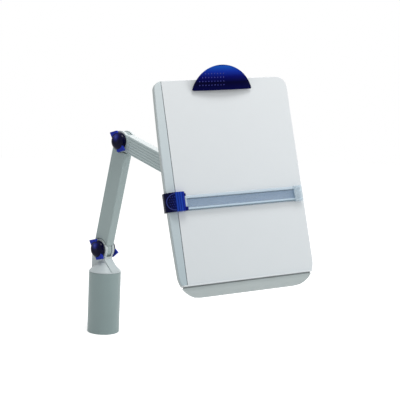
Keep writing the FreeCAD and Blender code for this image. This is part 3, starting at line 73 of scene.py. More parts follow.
# Floor and light. A pale floor under the column, white where the camera looks past the object,
# with a soft lamp above, a weaker one on the right and an even sky.
def colour(red, green, blue, alpha=1.0):
    """Linear colour of a printed 0 to 255 colour."""
    def linear(value):
        value = value / 255
        return value / 12.92 if value <= 0.04045 else ((value + 0.055) / 1.055) ** 2.4
    return (linear(red), linear(green), linear(blue), alpha)


def shader_node(tree, kind, values=None, **settings):
    """New shader node with its settings, and with values for some of its inputs."""
    made = tree.nodes.new("ShaderNode" + kind)
    for name, value in settings.items():
        setattr(made, name, value)
    for name, value in (values or {}).items():
        made.inputs[name].default_value = value
    return made


def background_rays(tree):
    """1 where a ray comes from the camera, a reflection or through glass."""
    path = shader_node(tree, "LightPath")
    first = shader_node(tree, "Math", operation="MAXIMUM")
    second = shader_node(tree, "Math", operation="MAXIMUM")
    tree.links.new(path.outputs["Is Camera Ray"], first.inputs[0])
    tree.links.new(path.outputs["Is Glossy Ray"], first.inputs[1])
    tree.links.new(first.outputs[0], second.inputs[0])
    tree.links.new(path.outputs["Is Transmission Ray"], second.inputs[1])
    return second.outputs[0]


floor_size = 8.0
floor_glow = 0.62
bpy.ops.object.select_all(action="DESELECT")
bpy.ops.mesh.primitive_plane_add(size=floor_size, location=(0, 0, 0))
floor = bpy.context.object
floor.name = "floor"
floor_paint = bpy.data.materials.new("floor_paint")
floor_paint.use_nodes = True
tree = floor_paint.node_tree
tree.nodes.clear()
dull = shader_node(tree, "BsdfDiffuse", {"Color": colour(232, 232, 232)})
glow = shader_node(tree, "Emission", {"Color": (1, 1, 1, 1)})
share = shader_node(tree, "Math", {1: floor_glow}, operation="MULTIPLY")
both = shader_node(tree, "AddShader")
out = shader_node(tree, "OutputMaterial")
tree.links.new(background_rays(tree), share.inputs[0])
tree.links.new(share.outputs[0], glow.inputs["Strength"])
tree.links.new(dull.outputs[0], both.inputs[0])
tree.links.new(glow.outputs[0], both.inputs[1])
tree.links.new(both.outputs[0], out.inputs["Surface"])
floor.data.materials.append(floor_paint)

sky_light = 0.5
sky_seen = 1.0
world = bpy.data.worlds.new("sky")
bpy.context.scene.world = world
world.use_nodes = True
tree = world.node_tree
tree.nodes.clear()
sky = shader_node(tree, "Background", {"Color": (1, 1, 1, 1)})
strength = shader_node(tree, "MapRange", {"To Min": sky_light, "To Max": sky_seen})
out = shader_node(tree, "OutputWorld")
tree.links.new(background_rays(tree), strength.inputs["Value"])
tree.links.new(strength.outputs["Result"], sky.inputs["Strength"])
tree.links.new(sky.outputs[0], out.inputs["Surface"])


def lamp(name, place, aim, size, power):
    """Square soft lamp that looks at a point."""
    data = bpy.data.lights.new(name, "AREA")
    data.size = size
    data.energy = power
    lamp_object = bpy.data.objects.new(name, data)
    bpy.context.scene.collection.objects.link(lamp_object)
    facing = (Vector(aim) - Vector(place)).to_track_quat("-Z", "Y").to_matrix().to_4x4()
    lamp_object.matrix_world = Matrix.Translation(place) @ facing


board_middle = (0.08, -0.15, 0.25)
lamp("lamp_high", (0.3, -0.7, 2.1), board_middle, size=0.8, power=21.0)
lamp("lamp_right", (1.9, -1.3, 0.9), board_middle, size=1.0, power=14.0)


# Column. An extruded tube sprayed a cool grey with a fine orange-peel texture, with a black moulded
# liner and bearing disc and a pressed fibre disc pushed in from its ends.
def moulded(name, base, roughness, grain=900.0, depth=0.12, cloud=0.015, specular=0.5):
    """Moulded plastic: faint mottling, fine grain in the surface and uneven gloss."""
    made = bpy.data.materials.new(name)
    made.use_nodes = True
    tree = made.node_tree
    skin = tree.nodes["Principled BSDF"]
    skin.inputs["IOR"].default_value = 1.5
    skin.inputs["Specular IOR Level"].default_value = specular
    place = shader_node(tree, "TexCoord", name="place")
    mottle = shader_node(tree, "TexNoise", {"Scale": 38.0, "Detail": 4.0})
    mottle_from, mottle_to = 0.3, 0.7
    tree.links.new(place.outputs["Object"], mottle.inputs["Vector"])
    tone = shader_node(tree, "ValToRGB", name="tone")
    tone.color_ramp.elements[0].position = mottle_from
    tone.color_ramp.elements[1].position = mottle_to
    tone.color_ramp.elements[0].color = tuple(c * (1 - cloud) for c in base[:3]) + (1,)
    tone.color_ramp.elements[1].color = tuple(min(1, c * (1 + cloud)) for c in base[:3]) + (1,)
    tree.links.new(mottle.outputs["Fac"], tone.inputs["Fac"])
    tree.links.new(tone.outputs["Color"], skin.inputs["Base Color"])
    uneven = 0.05
    gloss = shader_node(tree, "MapRange", {"From Min": mottle_from, "From Max": mottle_to,
                                           "To Min": max(0.02, roughness - uneven),
                                           "To Max": roughness + uneven}, name="gloss")
    tree.links.new(mottle.outputs["Fac"], gloss.inputs["Value"])
    tree.links.new(gloss.outputs["Result"], skin.inputs["Roughness"])
    pit = shader_node(tree, "TexNoise", {"Scale": grain, "Detail": 2.0})
    tree.links.new(place.outputs["Object"], pit.inputs["Vector"])
    bump = shader_node(tree, "Bump", {"Strength": depth, "Distance": 0.0004})
    tree.links.new(pit.outputs["Fac"], bump.inputs["Height"])
    tree.links.new(bump.outputs["Normal"], skin.inputs["Normal"])
    return made


def finish(material, *names):
    """Give CAD nodes one material."""
    for name in names:
        nodes[name].data.materials.clear()
        nodes[name].data.materials.append(material)


column_grey = moulded("column_grey", colour(142, 160, 160), 0.42)
finish(column_grey, "column_tube")
liner_black = moulded("liner_black", colour(38, 38, 40), 0.55)
finish(liner_black, "column_bush", "bearing_plate")
fibre = moulded("fibre_disc_brown", colour(120, 92, 66), 0.9, grain=2500.0, depth=0.5, cloud=0.2)
finish(fibre, "friction_disc")


# Swivel cap. One moulding of a paler grey than the column, with a smooth cone, a fork and a web. It
# turns on a bolt from below, which screws into a brass insert moulded into the cap.
def plated(name, base, roughness):
    """Bare or plated metal with fine uneven brushing."""
    made = bpy.data.materials.new(name)
    made.use_nodes = True
    tree = made.node_tree
    skin = tree.nodes["Principled BSDF"]
    skin.inputs["Metallic"].default_value = 1.0
    place = shader_node(tree, "TexCoord")
    streak = shader_node(tree, "TexNoise", {"Scale": 220.0, "Detail": 3.0})
    tree.links.new(place.outputs["Object"], streak.inputs["Vector"])
    tone = shader_node(tree, "ValToRGB")
    tone.color_ramp.elements[0].color = tuple(c * 0.82 for c in base[:3]) + (1,)
    tone.color_ramp.elements[1].color = base
    tree.links.new(streak.outputs["Fac"], tone.inputs["Fac"])
    tree.links.new(tone.outputs["Color"], skin.inputs["Base Color"])
    gloss = shader_node(tree, "MapRange", {"To Min": roughness - 0.08, "To Max": roughness + 0.1})
    tree.links.new(streak.outputs["Fac"], gloss.inputs["Value"])
    tree.links.new(gloss.outputs["Result"], skin.inputs["Roughness"])
    return made


cap_grey = moulded("cap_grey", colour(192, 202, 204), 0.38)
finish(cap_grey, "swivel_cap")
zinc = plated("zinc_steel", colour(190, 193, 196), 0.3)
finish(zinc, "swivel_bolt", "swivel_spring_washer")
insert_brass = plated("insert_brass", colour(196, 160, 92), 0.32)
finish(insert_brass, "cap_insert")


# Arms. Two box mouldings in the column's grey, the upper one paler, with a painted highlight on its
# crown where the light from above falls, six V grooves along each side, and a snap-in strip that
# closes the open side of each.
def offset_along(tree, centre, axis):
    """Offset of the surface from a point, and its distance along an axis."""
    offset = shader_node(tree, "VectorMath", {1: centre}, operation="SUBTRACT")
    tree.links.new(tree.nodes["place"].outputs["Object"], offset.inputs[0])
    along = shader_node(tree, "VectorMath", {1: axis}, operation="DOT_PRODUCT")
    tree.links.new(offset.outputs["Vector"], along.inputs[0])
    return offset.outputs["Vector"], along.outputs["Value"]


def ramp(tree, distance, stops, interpolation="LINEAR"):
    """Colour ramp node over a distance: stops are metres and colours."""
    first, last = stops[0][0], stops[-1][0]
    reach = shader_node(tree, "MapRange", {"From Min": first, "From Max": last})
    tree.links.new(distance, reach.inputs["Value"])
    paint = shader_node(tree, "ValToRGB")
    paint.color_ramp.interpolation = interpolation
    paint.color_ramp.elements[0].color = stops[0][1]
    paint.color_ramp.elements[1].color = stops[-1][1]
    for spot, tint in stops[1:-1]:
        paint.color_ramp.elements.new((spot - first) / (last - first)).color = tint
    tree.links.new(reach.outputs["Result"], paint.inputs["Fac"])
    return paint


def mixed(tree, share, first, second):
    """Colour that goes from the first to the second as the share goes from 0 to 1."""
    mix = shader_node(tree, "Mix", data_type="RGBA")
    share_in, first_in, second_in, colour_out = 0, 6, 7, 2
    for number, value in ((share_in, share), (first_in, first), (second_in, second)):
        if isinstance(value, bpy.types.NodeSocket):
            tree.links.new(value, mix.inputs[number])
        else:
            mix.inputs[number].default_value = value
    return mix.outputs[colour_out]


def paint_light_and_shade_along(made, centre, axis, stops):
    """Paint light and shade into a material's base colour by distance along an axis: stops are
    metres and colours.
    """
    tree = made.node_tree
    paint = ramp(tree, offset_along(tree, centre, axis)[1], stops)
    cloudy = mixed(tree, 0.12, paint.outputs["Color"], tree.nodes["tone"].outputs["Color"])
    tree.links.new(cloudy, tree.nodes["Principled BSDF"].inputs["Base Color"])
    return made


arm_grey = moulded("arm_grey", colour(160, 176, 176), 0.42)
finish(arm_grey, "lower_arm", "lower_arm_cover")

joints = {joint["name"]: joint for joint in frame["joints"]}
elbow_spot = Vector(joints["elbow"]["pos_m"])
upper_arm_way = Vector(joints["wrist"]["pos_m"]) - elbow_spot
arm_up = Vector(joints["elbow"]["axis"]).cross(upper_arm_way).normalized()
arm_up = arm_up if arm_up.z > 0 else -arm_up
arm_side = colour(186, 200, 201)
# The upper arm's top above crown_height is painted near white: a painted highlight where the light
# from above falls.
arm_crown_highlight = colour(228, 234, 235)
crown_height = 0.0152
crown_fade = 0.0002
upper_grey = paint_light_and_shade_along(moulded("upper_arm_grey", arm_side, 0.4), elbow_spot, arm_up,
                          [(-0.0140, arm_side), (crown_height - crown_fade, arm_side),
                           (crown_height + crown_fade, arm_crown_highlight), (0.0160, arm_crown_highlight)])
finish(upper_grey, "upper_arm", "upper_arm_cover")


# Clamp joints. A zinc-plated hexagon bolt with its nut, and a pair of waxy friction washers inside
# the fork, at each of the shoulder, the elbow and the wrist.
finish(zinc, "shoulder_bolt", "shoulder_nut", "elbow_bolt", "elbow_nut", "wrist_bolt", "wrist_nut")
washer_grey = moulded("washer_grey", colour(186, 194, 194), 0.35, grain=1800.0)
finish(washer_grey, "shoulder_washers", "elbow_washers", "wrist_washers")


# Wing knobs. Blue mouldings whose dome is polished, painted dark with a painted highlight near its
# crown, and whose wings are satin and paler, one pair on each clamp bolt. The line between the two
# finishes follows the dome's foot.
knob_base = 0.01035
wing_base = 0.0034
dome_foot = 0.0156
dome_slope = 0.5
# The dome's colour is painted light and shade: a painted highlight a little above its crown, fading
# into painted shade over the rest of the dome.
dome_highlight_out = 0.0200
dome_highlight_up = 0.0070
dome_highlight_reach = 0.0095
dome_highlight_and_shade_stops = [(0.0, colour(78, 88, 168)), (0.35 * dome_highlight_reach, colour(34, 42, 128)),
              (0.7 * dome_highlight_reach, colour(6, 8, 66)), (dome_highlight_reach, colour(3, 3, 40))]
wing_blue = colour(32, 50, 164)
wing_roughness = 0.42
line_blur = 0.0001


def blue(name, base, roughness, specular=0.06):
    """Blue moulded plastic with faint flow marks."""
    return moulded(name, base, roughness, grain=500.0, depth=0.04, cloud=0.08, specular=specular)


def two_finishes_with_painted_light(name, centre, axis, outward):
    """Knob material: polished inside the dome's foot, with a painted highlight near the crown and
    painted shade around it, satin on the wings.
    """
    made = blue(name, colour(3, 4, 62), 0.08, specular=0.08)
    tree = made.node_tree
    skin = tree.nodes["Principled BSDF"]
    offset, along = offset_along(tree, centre, axis)
    across = shader_node(tree, "VectorMath", {1: axis}, operation="CROSS_PRODUCT")
    tree.links.new(offset, across.inputs[0])
    radius = shader_node(tree, "VectorMath", operation="LENGTH")
    tree.links.new(across.outputs["Vector"], radius.inputs[0])
    height = shader_node(tree, "Math", operation="ABSOLUTE")
    tree.links.new(along, height.inputs[0])
    lean = shader_node(tree, "Math", {1: dome_slope}, operation="MULTIPLY_ADD")
    tree.links.new(height.outputs[0], lean.inputs[0])
    tree.links.new(radius.outputs["Value"], lean.inputs[2])
    foot = dome_foot + dome_slope * (knob_base + wing_base)
    edge = shader_node(tree, "MapRange", {"From Min": foot - line_blur,
                                          "From Max": foot + line_blur})
    tree.links.new(lean.outputs[0], edge.inputs["Value"])
    # Painted highlight: the dome is paler near this spot and painted dark with shade further off.
    dome_highlight_spot = outward * dome_highlight_out + Vector((0, 0, dome_highlight_up))
    crown = shader_node(tree, "VectorMath", {1: dome_highlight_spot}, operation="DISTANCE")
    tree.links.new(offset, crown.inputs[0])
    dome = ramp(tree, crown.outputs["Value"], dome_highlight_and_shade_stops)
    paint = mixed(tree, edge.outputs["Result"], dome.outputs["Color"], wing_blue)
    tree.links.new(paint, skin.inputs["Base Color"])
    rough = shader_node(tree, "Mix", {3: wing_roughness}, data_type="FLOAT")
    tree.links.new(edge.outputs["Result"], rough.inputs[0])
    tree.links.new(tree.nodes["gloss"].outputs["Result"], rough.inputs[2])
    tree.links.new(rough.outputs[0], skin.inputs["Roughness"])
    return made


for pivot in ("shoulder", "elbow", "wrist"):
    centre = Vector(joints[pivot]["pos_m"])
    outward = (Vector(joints[pivot + "_knob_turn"]["pos_m"]) - centre).normalized()
    knob_blue = two_finishes_with_painted_light(pivot + "_knob_blue", centre, joints[pivot]["axis"], outward)
    finish(knob_blue, pivot + "_knob", pivot + "_back_knob")


# Head. A grey block on the upper arm's end whose yoke holds an upright steel pin, and the hub that
# swings on it between two thin washers and carries the board on a round flange.
finish(arm_grey, "head_block", "swivel_hub")
finish(zinc, "swivel_pin", "swivel_clip")
finish(washer_grey, "swivel_washers", "turntable_washer")


# Turntable. A round grey plate screwed to the board's back, held to the hub by one bolt with a
# spring washer from inside the housing. Its screws and the housing's have a cross recess.
board_back = -Vector(joints["board_roll"]["axis"]).normalized()
board_up = -Vector(joints["drawer_slide"]["axis"]).normalized()
board_across = board_back.cross(board_up)
board_depth = 0.030
turntable_across = -0.0151
turntable_up = 0.0017
turntable = Vector(joints["board_roll"]["pos_m"])
board_place = Matrix((board_across, board_back, board_up)).transposed().to_4x4()
board_place.translation = (turntable - board_back * board_depth
                           - board_across * turntable_across - board_up * turntable_up)
turntable_place = board_place @ Matrix.Translation((turntable_across, 0, turntable_up))


def select_faces(piece, wanted):
    """Select the faces of the piece in edit mode whose middle and normal the test accepts."""
    mesh = bmesh.from_edit_mesh(piece.data)
    for item in mesh.verts:
        item.select_set(False)
    for face in mesh.faces:
        face.select_set(wanted(face.calc_center_median(), face.normal))
    mesh.select_flush_mode()
    bmesh.update_edit_mesh(piece.data)


def apply_all(piece):
    """Apply the piece's modifiers in order."""
    bpy.context.view_layer.objects.active = piece
    for modifier in list(piece.modifiers):
        bpy.ops.object.modifier_apply(modifier=modifier.name)


def settle(piece, material, body=None, place=None):
    """Put the piece's place in its mesh and give it its material and, if one is named, its body."""
    bpy.ops.object.select_all(action="DESELECT")
    piece.select_set(True)
    bpy.context.view_layer.objects.active = piece
    bpy.ops.object.transform_apply(location=True, rotation=True, scale=True)
    if place is not None:
        piece.data.transform(place)
    piece.data.materials.clear()
    piece.data.materials.append(material)
    bpy.ops.object.shade_smooth_by_angle(angle=math.radians(35))
    if body:
        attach(piece, body)


def copied(name, first, places):
    """Copies of a piece at the given places, joined into one piece that takes its stead."""
    copies = []
    for place in places:
        copy = bpy.data.objects.new(name, first.data.copy())
        bpy.context.scene.collection.objects.link(copy)
        copy.data.transform(place)
        copies.append(copy)
    bpy.data.objects.remove(first, do_unlink=True)
    bpy.ops.object.select_all(action="DESELECT")
    for copy in copies:
        copy.select_set(True)
    bpy.context.view_layer.objects.active = copies[0]
    bpy.ops.object.join()
    copies[0].name = name
    return copies[0]


screw_head = 0.0056
screw_rise = 0.0018
screw_shank = 0.0030
screw_tip = 0.0005
tip_taper = 0.6
head_round = 0.0006
recess_size = (0.0034, 0.0007, 0.0018)
facing_z = 0.9


def cross_screw(length):
    """Pan-head screw with a cross recess: underside of the head at z = 0, shank downwards."""
    bpy.ops.object.select_all(action="DESELECT")
    bpy.ops.mesh.primitive_cylinder_add(vertices=32, radius=screw_head / 2, depth=screw_rise,
                                        location=(0, 0, screw_rise / 2))
    screw = bpy.context.object
    bpy.ops.object.transform_apply(location=True)
    bpy.ops.object.mode_set(mode="EDIT")
    select_faces(screw, lambda middle, normal: normal.z > facing_z)
    bpy.ops.mesh.bevel(offset=head_round, segments=3)
    select_faces(screw, lambda middle, normal: normal.z < -facing_z)
    bpy.ops.mesh.inset(thickness=(screw_head - screw_shank) / 2)
    bpy.ops.mesh.extrude_region_move(TRANSFORM_OT_translate={"value": (0, 0, screw_tip - length)})
    bpy.ops.mesh.extrude_region_move(TRANSFORM_OT_translate={"value": (0, 0, -screw_tip)})
    bpy.ops.transform.resize(value=(tip_taper, tip_taper, 1.0))
    bpy.ops.object.mode_set(mode="OBJECT")
    for turn_of_slot in (0, math.pi / 2):
        bpy.ops.mesh.primitive_cube_add(size=1.0, location=(0, 0, screw_rise),
                                        rotation=(0, 0, turn_of_slot))
        slot = bpy.context.object
        slot.scale = recess_size
        cut = screw.modifiers.new("cut", "BOOLEAN")
        cut.operation = "DIFFERENCE"
        cut.solver = "EXACT"
        cut.object = slot
        apply_all(screw)
        bpy.data.objects.remove(slot, do_unlink=True)
    return screw


def screw_set(name, length, places, node, body):
    """Copies of one screw at the given places, in place of a CAD node."""
    piece = copied(name, cross_screw(length), places)
    settle(piece, zinc, body)
    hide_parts(node)


head_back = Matrix.Rotation(math.radians(-90), 4, "X")
finish(arm_grey, "pivot_boss")
finish(zinc, "turntable_bolt", "turntable_spring")
boss_circle = 0.030
boss_seat = 0.0322
boss_screw_length = 0.0022
boss_recess_turn = 1.7
boss_places = []
for number in range(4):
    angle = math.radians(45 + 90 * number)
    spot = (boss_circle * math.cos(angle), boss_seat, boss_circle * math.sin(angle))
    recess = Matrix.Rotation(angle * boss_recess_turn, 4, "Z")
    boss_places.append(turntable_place @ Matrix.Translation(spot) @ head_back @ recess)
screw_set("boss_screw_set", boss_screw_length, boss_places, "boss_screws", "board")


# Housing. Two grey mouldings, a web frame and a drafted back, held together by four screws that sit
# in recesses of the back.
housing_grey = moulded("housing_grey", colour(176, 186, 186), 0.45)
finish(housing_grey, "front_frame", "back_cover")
cover_seat = 0.0279
cover_screw_length = 0.0207
cover_recess_turns = (40, 9)
cover_places = []
for x, z in ((-0.090, 0.118), (0.078, 0.118), (-0.090, -0.018), (0.078, -0.018)):
    recess = Matrix.Rotation(cover_recess_turns[0] * x + cover_recess_turns[1] * z, 4, "Z")
    cover_places.append(board_place @ Matrix.Translation((x, cover_seat, z)) @ head_back @ recess)
screw_set("cover_screw_set", cover_screw_length, cover_places, "cover_screws", "board")


# Sheet, strip and lip. Pale satin mouldings: the flat sheet that the papers lie on, the bowed strip
# on its left that the line guide runs along, and the lip that the papers stand on.
board_origin = board_place.translation
sheet_base = moulded("sheet_grey", colour(214, 219, 221), 0.36, grain=1400.0, cloud=0.006)
# The sheet and lip are painted a little darker towards the bottom: painted shade where less light
# falls.
sheet_grey = paint_light_and_shade_along(sheet_base, board_origin, board_up,
                          [(-0.165, colour(207, 213, 216)), (-0.020, colour(211, 216, 219)),
                           (0.145, colour(215, 219, 221))])
finish(sheet_grey, "front_plate", "paper_ledge")
strip_base = moulded("strip_grey", colour(190, 201, 204), 0.36, grain=1400.0, cloud=0.006)
# The strip is painted darker towards the bottom, more than the sheet: painted shade where less
# light falls.
strip_grey = paint_light_and_shade_along(strip_base, board_origin, board_up,
                          [(-0.165, colour(166, 182, 188)), (-0.060, colour(178, 191, 196)),
                           (0.030, colour(190, 201, 205)), (0.145, colour(198, 207, 209))])
finish(strip_grey, "side_track")


# Drawer. A shallow grey tray with a divider, on two channel strips inside the back, screwed to a
# rounded nose that forms the board's lower edge.
drawer_grey = moulded("drawer_grey", colour(180, 190, 190), 0.45)
finish(drawer_grey, "drawer_front", "drawer_tray", "drawer_runners")
drawer_seat = -0.1634
drawer_screw_depth = 0.0151
drawer_screw_length = 0.0068
drawer_recess_turn = 20
drawer_places = []
for x in (-0.066, 0.054):
    recess = Matrix.Rotation(drawer_recess_turn * x, 4, "Z")
    spot = (x, drawer_screw_depth, drawer_seat)
    drawer_places.append(board_place @ Matrix.Translation(spot) @ recess)
screw_set("drawer_screw_set", drawer_screw_length, drawer_places, "drawer_screws", "drawer")


def soft_block(name, size, spot, softness):
    """Block with softened edges, at a place in the board's frame."""
    bpy.ops.object.select_all(action="DESELECT")
    bpy.ops.mesh.primitive_cube_add(size=1.0)
    block = bpy.context.object
    block.name = name
    block.scale = size
    block.location = spot
    bpy.ops.object.transform_apply(location=True, scale=True)
    soften = block.modifiers.new("soften", "BEVEL")
    soften.width = softness
    soften.segments = 3
    apply_all(block)
    return block


# A grey strip set in the seam under the lip, whose grey is painted shade: it stands in for the
# seam's thin dark line.
seam_shade_strip_size = (0.2070, 0.0036, 0.0018)
seam_shade_strip_spot = (-0.0060, 0.0038, -0.16430)
seam_shade_strip = soft_block("drawer_seam_shade_strip", seam_shade_strip_size, seam_shade_strip_spot, softness=0.0006)
seam_shade_grey = moulded("seam_shade_grey", colour(150, 157, 158), 0.9, grain=2600.0, depth=0.6, cloud=0.1)
settle(seam_shade_strip, seam_shade_grey, "drawer", board_place)


# Slider of the line guide. A blue grip that wraps the board's left edge, satin in front with
# painted shade in its grooves, and painted dark with shade on its bevel, where a dotted pad with a
# raised rim takes the finger. A small foot and a small tab stand at its right corners.
fold_across = -0.1066
# Painted light and shade across the slider: near black on the bevel, which faces away from the
# light, bright in front, with a dark line of painted shade in each groove.
slider_light_and_shade_stops = [
    (-0.0160, colour(1, 3, 30)), (-0.0060, colour(2, 6, 50)), (-0.0002, colour(2, 20, 92)),
    (0.0002, colour(30, 66, 168)), (0.0027, colour(24, 56, 150)), (0.0032, colour(6, 24, 100)),
    (0.0038, colour(30, 66, 168)), (0.0063, colour(22, 52, 150)), (0.0068, colour(6, 26, 104)),
    (0.0075, colour(34, 70, 176)), (0.0100, colour(22, 54, 156)), (0.0105, colour(6, 24, 104)),
    (0.0112, colour(28, 52, 168)), (0.0146, colour(14, 22, 104))]
slider_blue = paint_light_and_shade_along(blue("slider_blue", colour(8, 16, 84), 0.26),
                           board_place @ Vector((fold_across, 0, 0)), board_across, slider_light_and_shade_stops)
finish(slider_blue, "guide_slider")
foot_blue = blue("slider_foot_blue", colour(12, 20, 96), 0.3)
finish(foot_blue, "guide_foot")


bead_radius = 0.0009
bead_flatness = 0.5


def bead_field(name, places, material, body):
    """Low round beads of one moulding at the given places, each with its axis along Z."""
    bpy.ops.object.select_all(action="DESELECT")
    bpy.ops.mesh.primitive_ico_sphere_add(subdivisions=2, radius=bead_radius)
    first = bpy.context.object
    bpy.ops.object.mode_set(mode="EDIT")
    bpy.ops.mesh.select_all(action="SELECT")
    bpy.ops.transform.resize(value=(1.0, 1.0, bead_flatness))
    bpy.ops.object.mode_set(mode="OBJECT")
    piece = copied(name, first, places)
    settle(piece, material, body)


fold = Vector((fold_across, -0.0090, 0))
outer_edge = Vector((-0.1206, -0.0014, 0))
pad_across = (fold - outer_edge).normalized()
pad_normal = Vector((pad_across.y, -pad_across.x, 0))
slider_middle = -0.0387
pad_place = Matrix((pad_across, Vector((0, 0, 1)), pad_normal)).transposed().to_4x4()
pad_place.translation = fold + Vector((0, 0, slider_middle))
pad_place = board_place @ pad_place
# The rim's paler blue is a painted highlight along its raised edge.
rim_highlight_blue = blue("rim_highlight_blue", colour(50, 60, 128), 0.3, specular=0.12)
dot_navy = blue("dot_navy", colour(24, 38, 112), 0.3, specular=0.1)
pad_half_width = 0.0146
pad_half_height = 0.0122
pad_margin = 0.0015
pad_first = -0.0018
pad_column_step = 0.0031
pad_row_step = 0.0036
pad_spots = []
for row in range(-3, 4):
    for column in range(5):
        x = pad_first - pad_column_step * column - (pad_column_step / 2 if row % 2 else 0)
        y = pad_row_step * row
        reach_x = x / (pad_half_width - pad_margin)
        reach_y = y / (pad_half_height - pad_margin)
        if reach_x ** 2 + reach_y ** 2 < 1:
            pad_spots.append(pad_place @ Matrix.Translation((x, y, 0)))
bead_field("slider_pad_dots", pad_spots, dot_navy, "line_guide")

ring_radius = 0.01
rim_radius = 0.0005
rim_cut = -0.0008
bpy.ops.object.select_all(action="DESELECT")
bpy.ops.mesh.primitive_torus_add(major_segments=64, minor_segments=10,
                                 major_radius=ring_radius, minor_radius=rim_radius)
pad_rim = bpy.context.object
pad_rim.name = "slider_pad_rim"
bpy.ops.object.mode_set(mode="EDIT")
bpy.ops.mesh.select_all(action="SELECT")
bpy.ops.transform.resize(value=(pad_half_width / ring_radius, pad_half_height / ring_radius, 1.0))
bpy.ops.mesh.bisect(plane_co=(rim_cut, 0, 0), plane_no=(1, 0, 0), use_fill=True, clear_outer=True)
bpy.ops.object.mode_set(mode="OBJECT")
settle(pad_rim, rim_highlight_blue, "line_guide", pad_place)

corner_blocks = (
    ("slider_corner_foot", (0.0046, 0.0044, 0.0060), (-0.0913, -0.0068, -0.0501)),
    ("slider_corner_tab", (0.0026, 0.0030, 0.0046), (-0.0918, -0.0066, -0.0290)))
for name, size, spot in corner_blocks:
    corner_block = soft_block(name, size, spot, softness=0.0009)
    settle(corner_block, foot_blue, "line_guide", board_place)


# Line guide. A clear bar, faintly blue, pressed into the slider, with a raised rail along each edge
# and a clear block pushed over its free end. Painted highlights pale the rails and both ends of the
# bar, and painted lines of shade run beside the rails.
guide_height = -0.0418
guide_centre = board_place @ Vector((0, 0, guide_height))
guide_half = 0.01125
root_width = 0.0034
root_ends = root_width + max((vertex.co - guide_centre).dot(board_across)
                             for vertex in nodes["guide_slider"].data.vertices)
block_starts = min((vertex.co - guide_centre).dot(board_across)
                   for vertex in nodes["guide_end_cap"].data.vertices)


def clear(name, base, roughness, body_alpha, painted_bands=None):
    """Clear moulded plastic, thin enough to let light through. Bands are the heights from its
    middle where painted lines of light and shade begin; the last one's colour, a painted highlight,
    is on both ends too."""
    made = bpy.data.materials.new(name)
    made.use_nodes = True
    tree = made.node_tree
    skin = tree.nodes["Principled BSDF"]
    skin.inputs["IOR"].default_value = 1.49
    place = shader_node(tree, "TexCoord", name="place")
    ripple = shader_node(tree, "TexNoise", {"Scale": 30.0})
    tree.links.new(place.outputs["Object"], ripple.inputs["Vector"])
    tone = shader_node(tree, "ValToRGB")
    tone.color_ramp.elements[0].color = tuple(c * 0.96 for c in base[:3]) + (1,)
    tone.color_ramp.elements[1].color = base
    tree.links.new(ripple.outputs["Fac"], tone.inputs["Fac"])
    tree.links.new(tone.outputs["Color"], skin.inputs["Base Color"])
    skin.inputs["Alpha"].default_value = body_alpha
    gloss = shader_node(tree, "MapRange", {"To Min": roughness, "To Max": roughness + 0.06})
    tree.links.new(ripple.outputs["Fac"], gloss.inputs["Value"])
    tree.links.new(gloss.outputs["Result"], skin.inputs["Roughness"])
    bump = shader_node(tree, "Bump", {"Strength": 0.05, "Distance": 0.001})
    tree.links.new(ripple.outputs["Fac"], bump.inputs["Height"])
    tree.links.new(bump.outputs["Normal"], skin.inputs["Normal"])
    if painted_bands:
        end_highlight = painted_bands[-1][1]
        height = offset_along(tree, guide_centre, board_up)[1]
        along = offset_along(tree, guide_centre, board_across)[1]
        lines = ramp(tree, height, painted_bands + [(guide_half, end_highlight)], "CONSTANT")
        ends = shader_node(tree, "Math", operation="MAXIMUM")
        for socket, clear_side, pale_side in (
                (0, root_ends + line_blur, root_ends - line_blur),
                (1, block_starts - line_blur, block_starts + line_blur)):
            end = shader_node(tree, "MapRange", {"From Min": clear_side, "From Max": pale_side})
            tree.links.new(along, end.inputs["Value"])
            tree.links.new(end.outputs["Result"], ends.inputs[socket])
        paint = mixed(tree, ends.outputs[0], lines.outputs["Color"], end_highlight)
        rippled = mixed(tree, 0.1, paint, tone.outputs["Color"])
        tree.links.new(rippled, skin.inputs["Base Color"])
        density = shader_node(tree, "MapRange", {"To Max": end_highlight[3]})
        tree.links.new(ends.outputs[0], density.inputs["Value"])
        tree.links.new(lines.outputs["Alpha"], density.inputs["To Min"])
        tree.links.new(density.outputs["Result"], skin.inputs["Alpha"])
    return made


# Painted light and shade on the bar: a dark painted shadow along its lower edge, a pale painted
# highlight on each rail, and a dark painted line of shade under the upper rail.
guide_light_and_shade_bands = [(-guide_half, colour(96, 120, 134, 0.5)), (-0.0092, colour(206, 226, 238, 0.5)),
               (-0.0066, colour(104, 144, 184, 0.26)), (0.0056, colour(70, 96, 116, 0.5)),
               (0.0072, colour(212, 228, 238, 0.5))]
guide_clear = clear("guide_clear", colour(114, 158, 200), 0.14, 0.24, guide_light_and_shade_bands)
finish(guide_clear, "line_guide")
end_clear = clear("end_block_clear", colour(214, 230, 240), 0.08, 0.3)
finish(end_clear, "guide_end_cap")


# Clip. A grey bracket and steel pin carry a dished blue thumb plate with a rolled rim, rows of
# small dots on its left half for the finger and a soft strip behind its edge. A wound spring sits
# on the pin: one leg rests on the board, the other pushes the plate.
finish(housing_grey, "clip_bracket")
finish(zinc, "clip_pin")
clip_across = -0.0078
clip_spot = (clip_across, -0.0016, 0.128)
clip_tilt = Matrix.Rotation(math.radians(20.8), 4, "X")
clip_place = board_place @ Matrix.Translation(clip_spot) @ clip_tilt
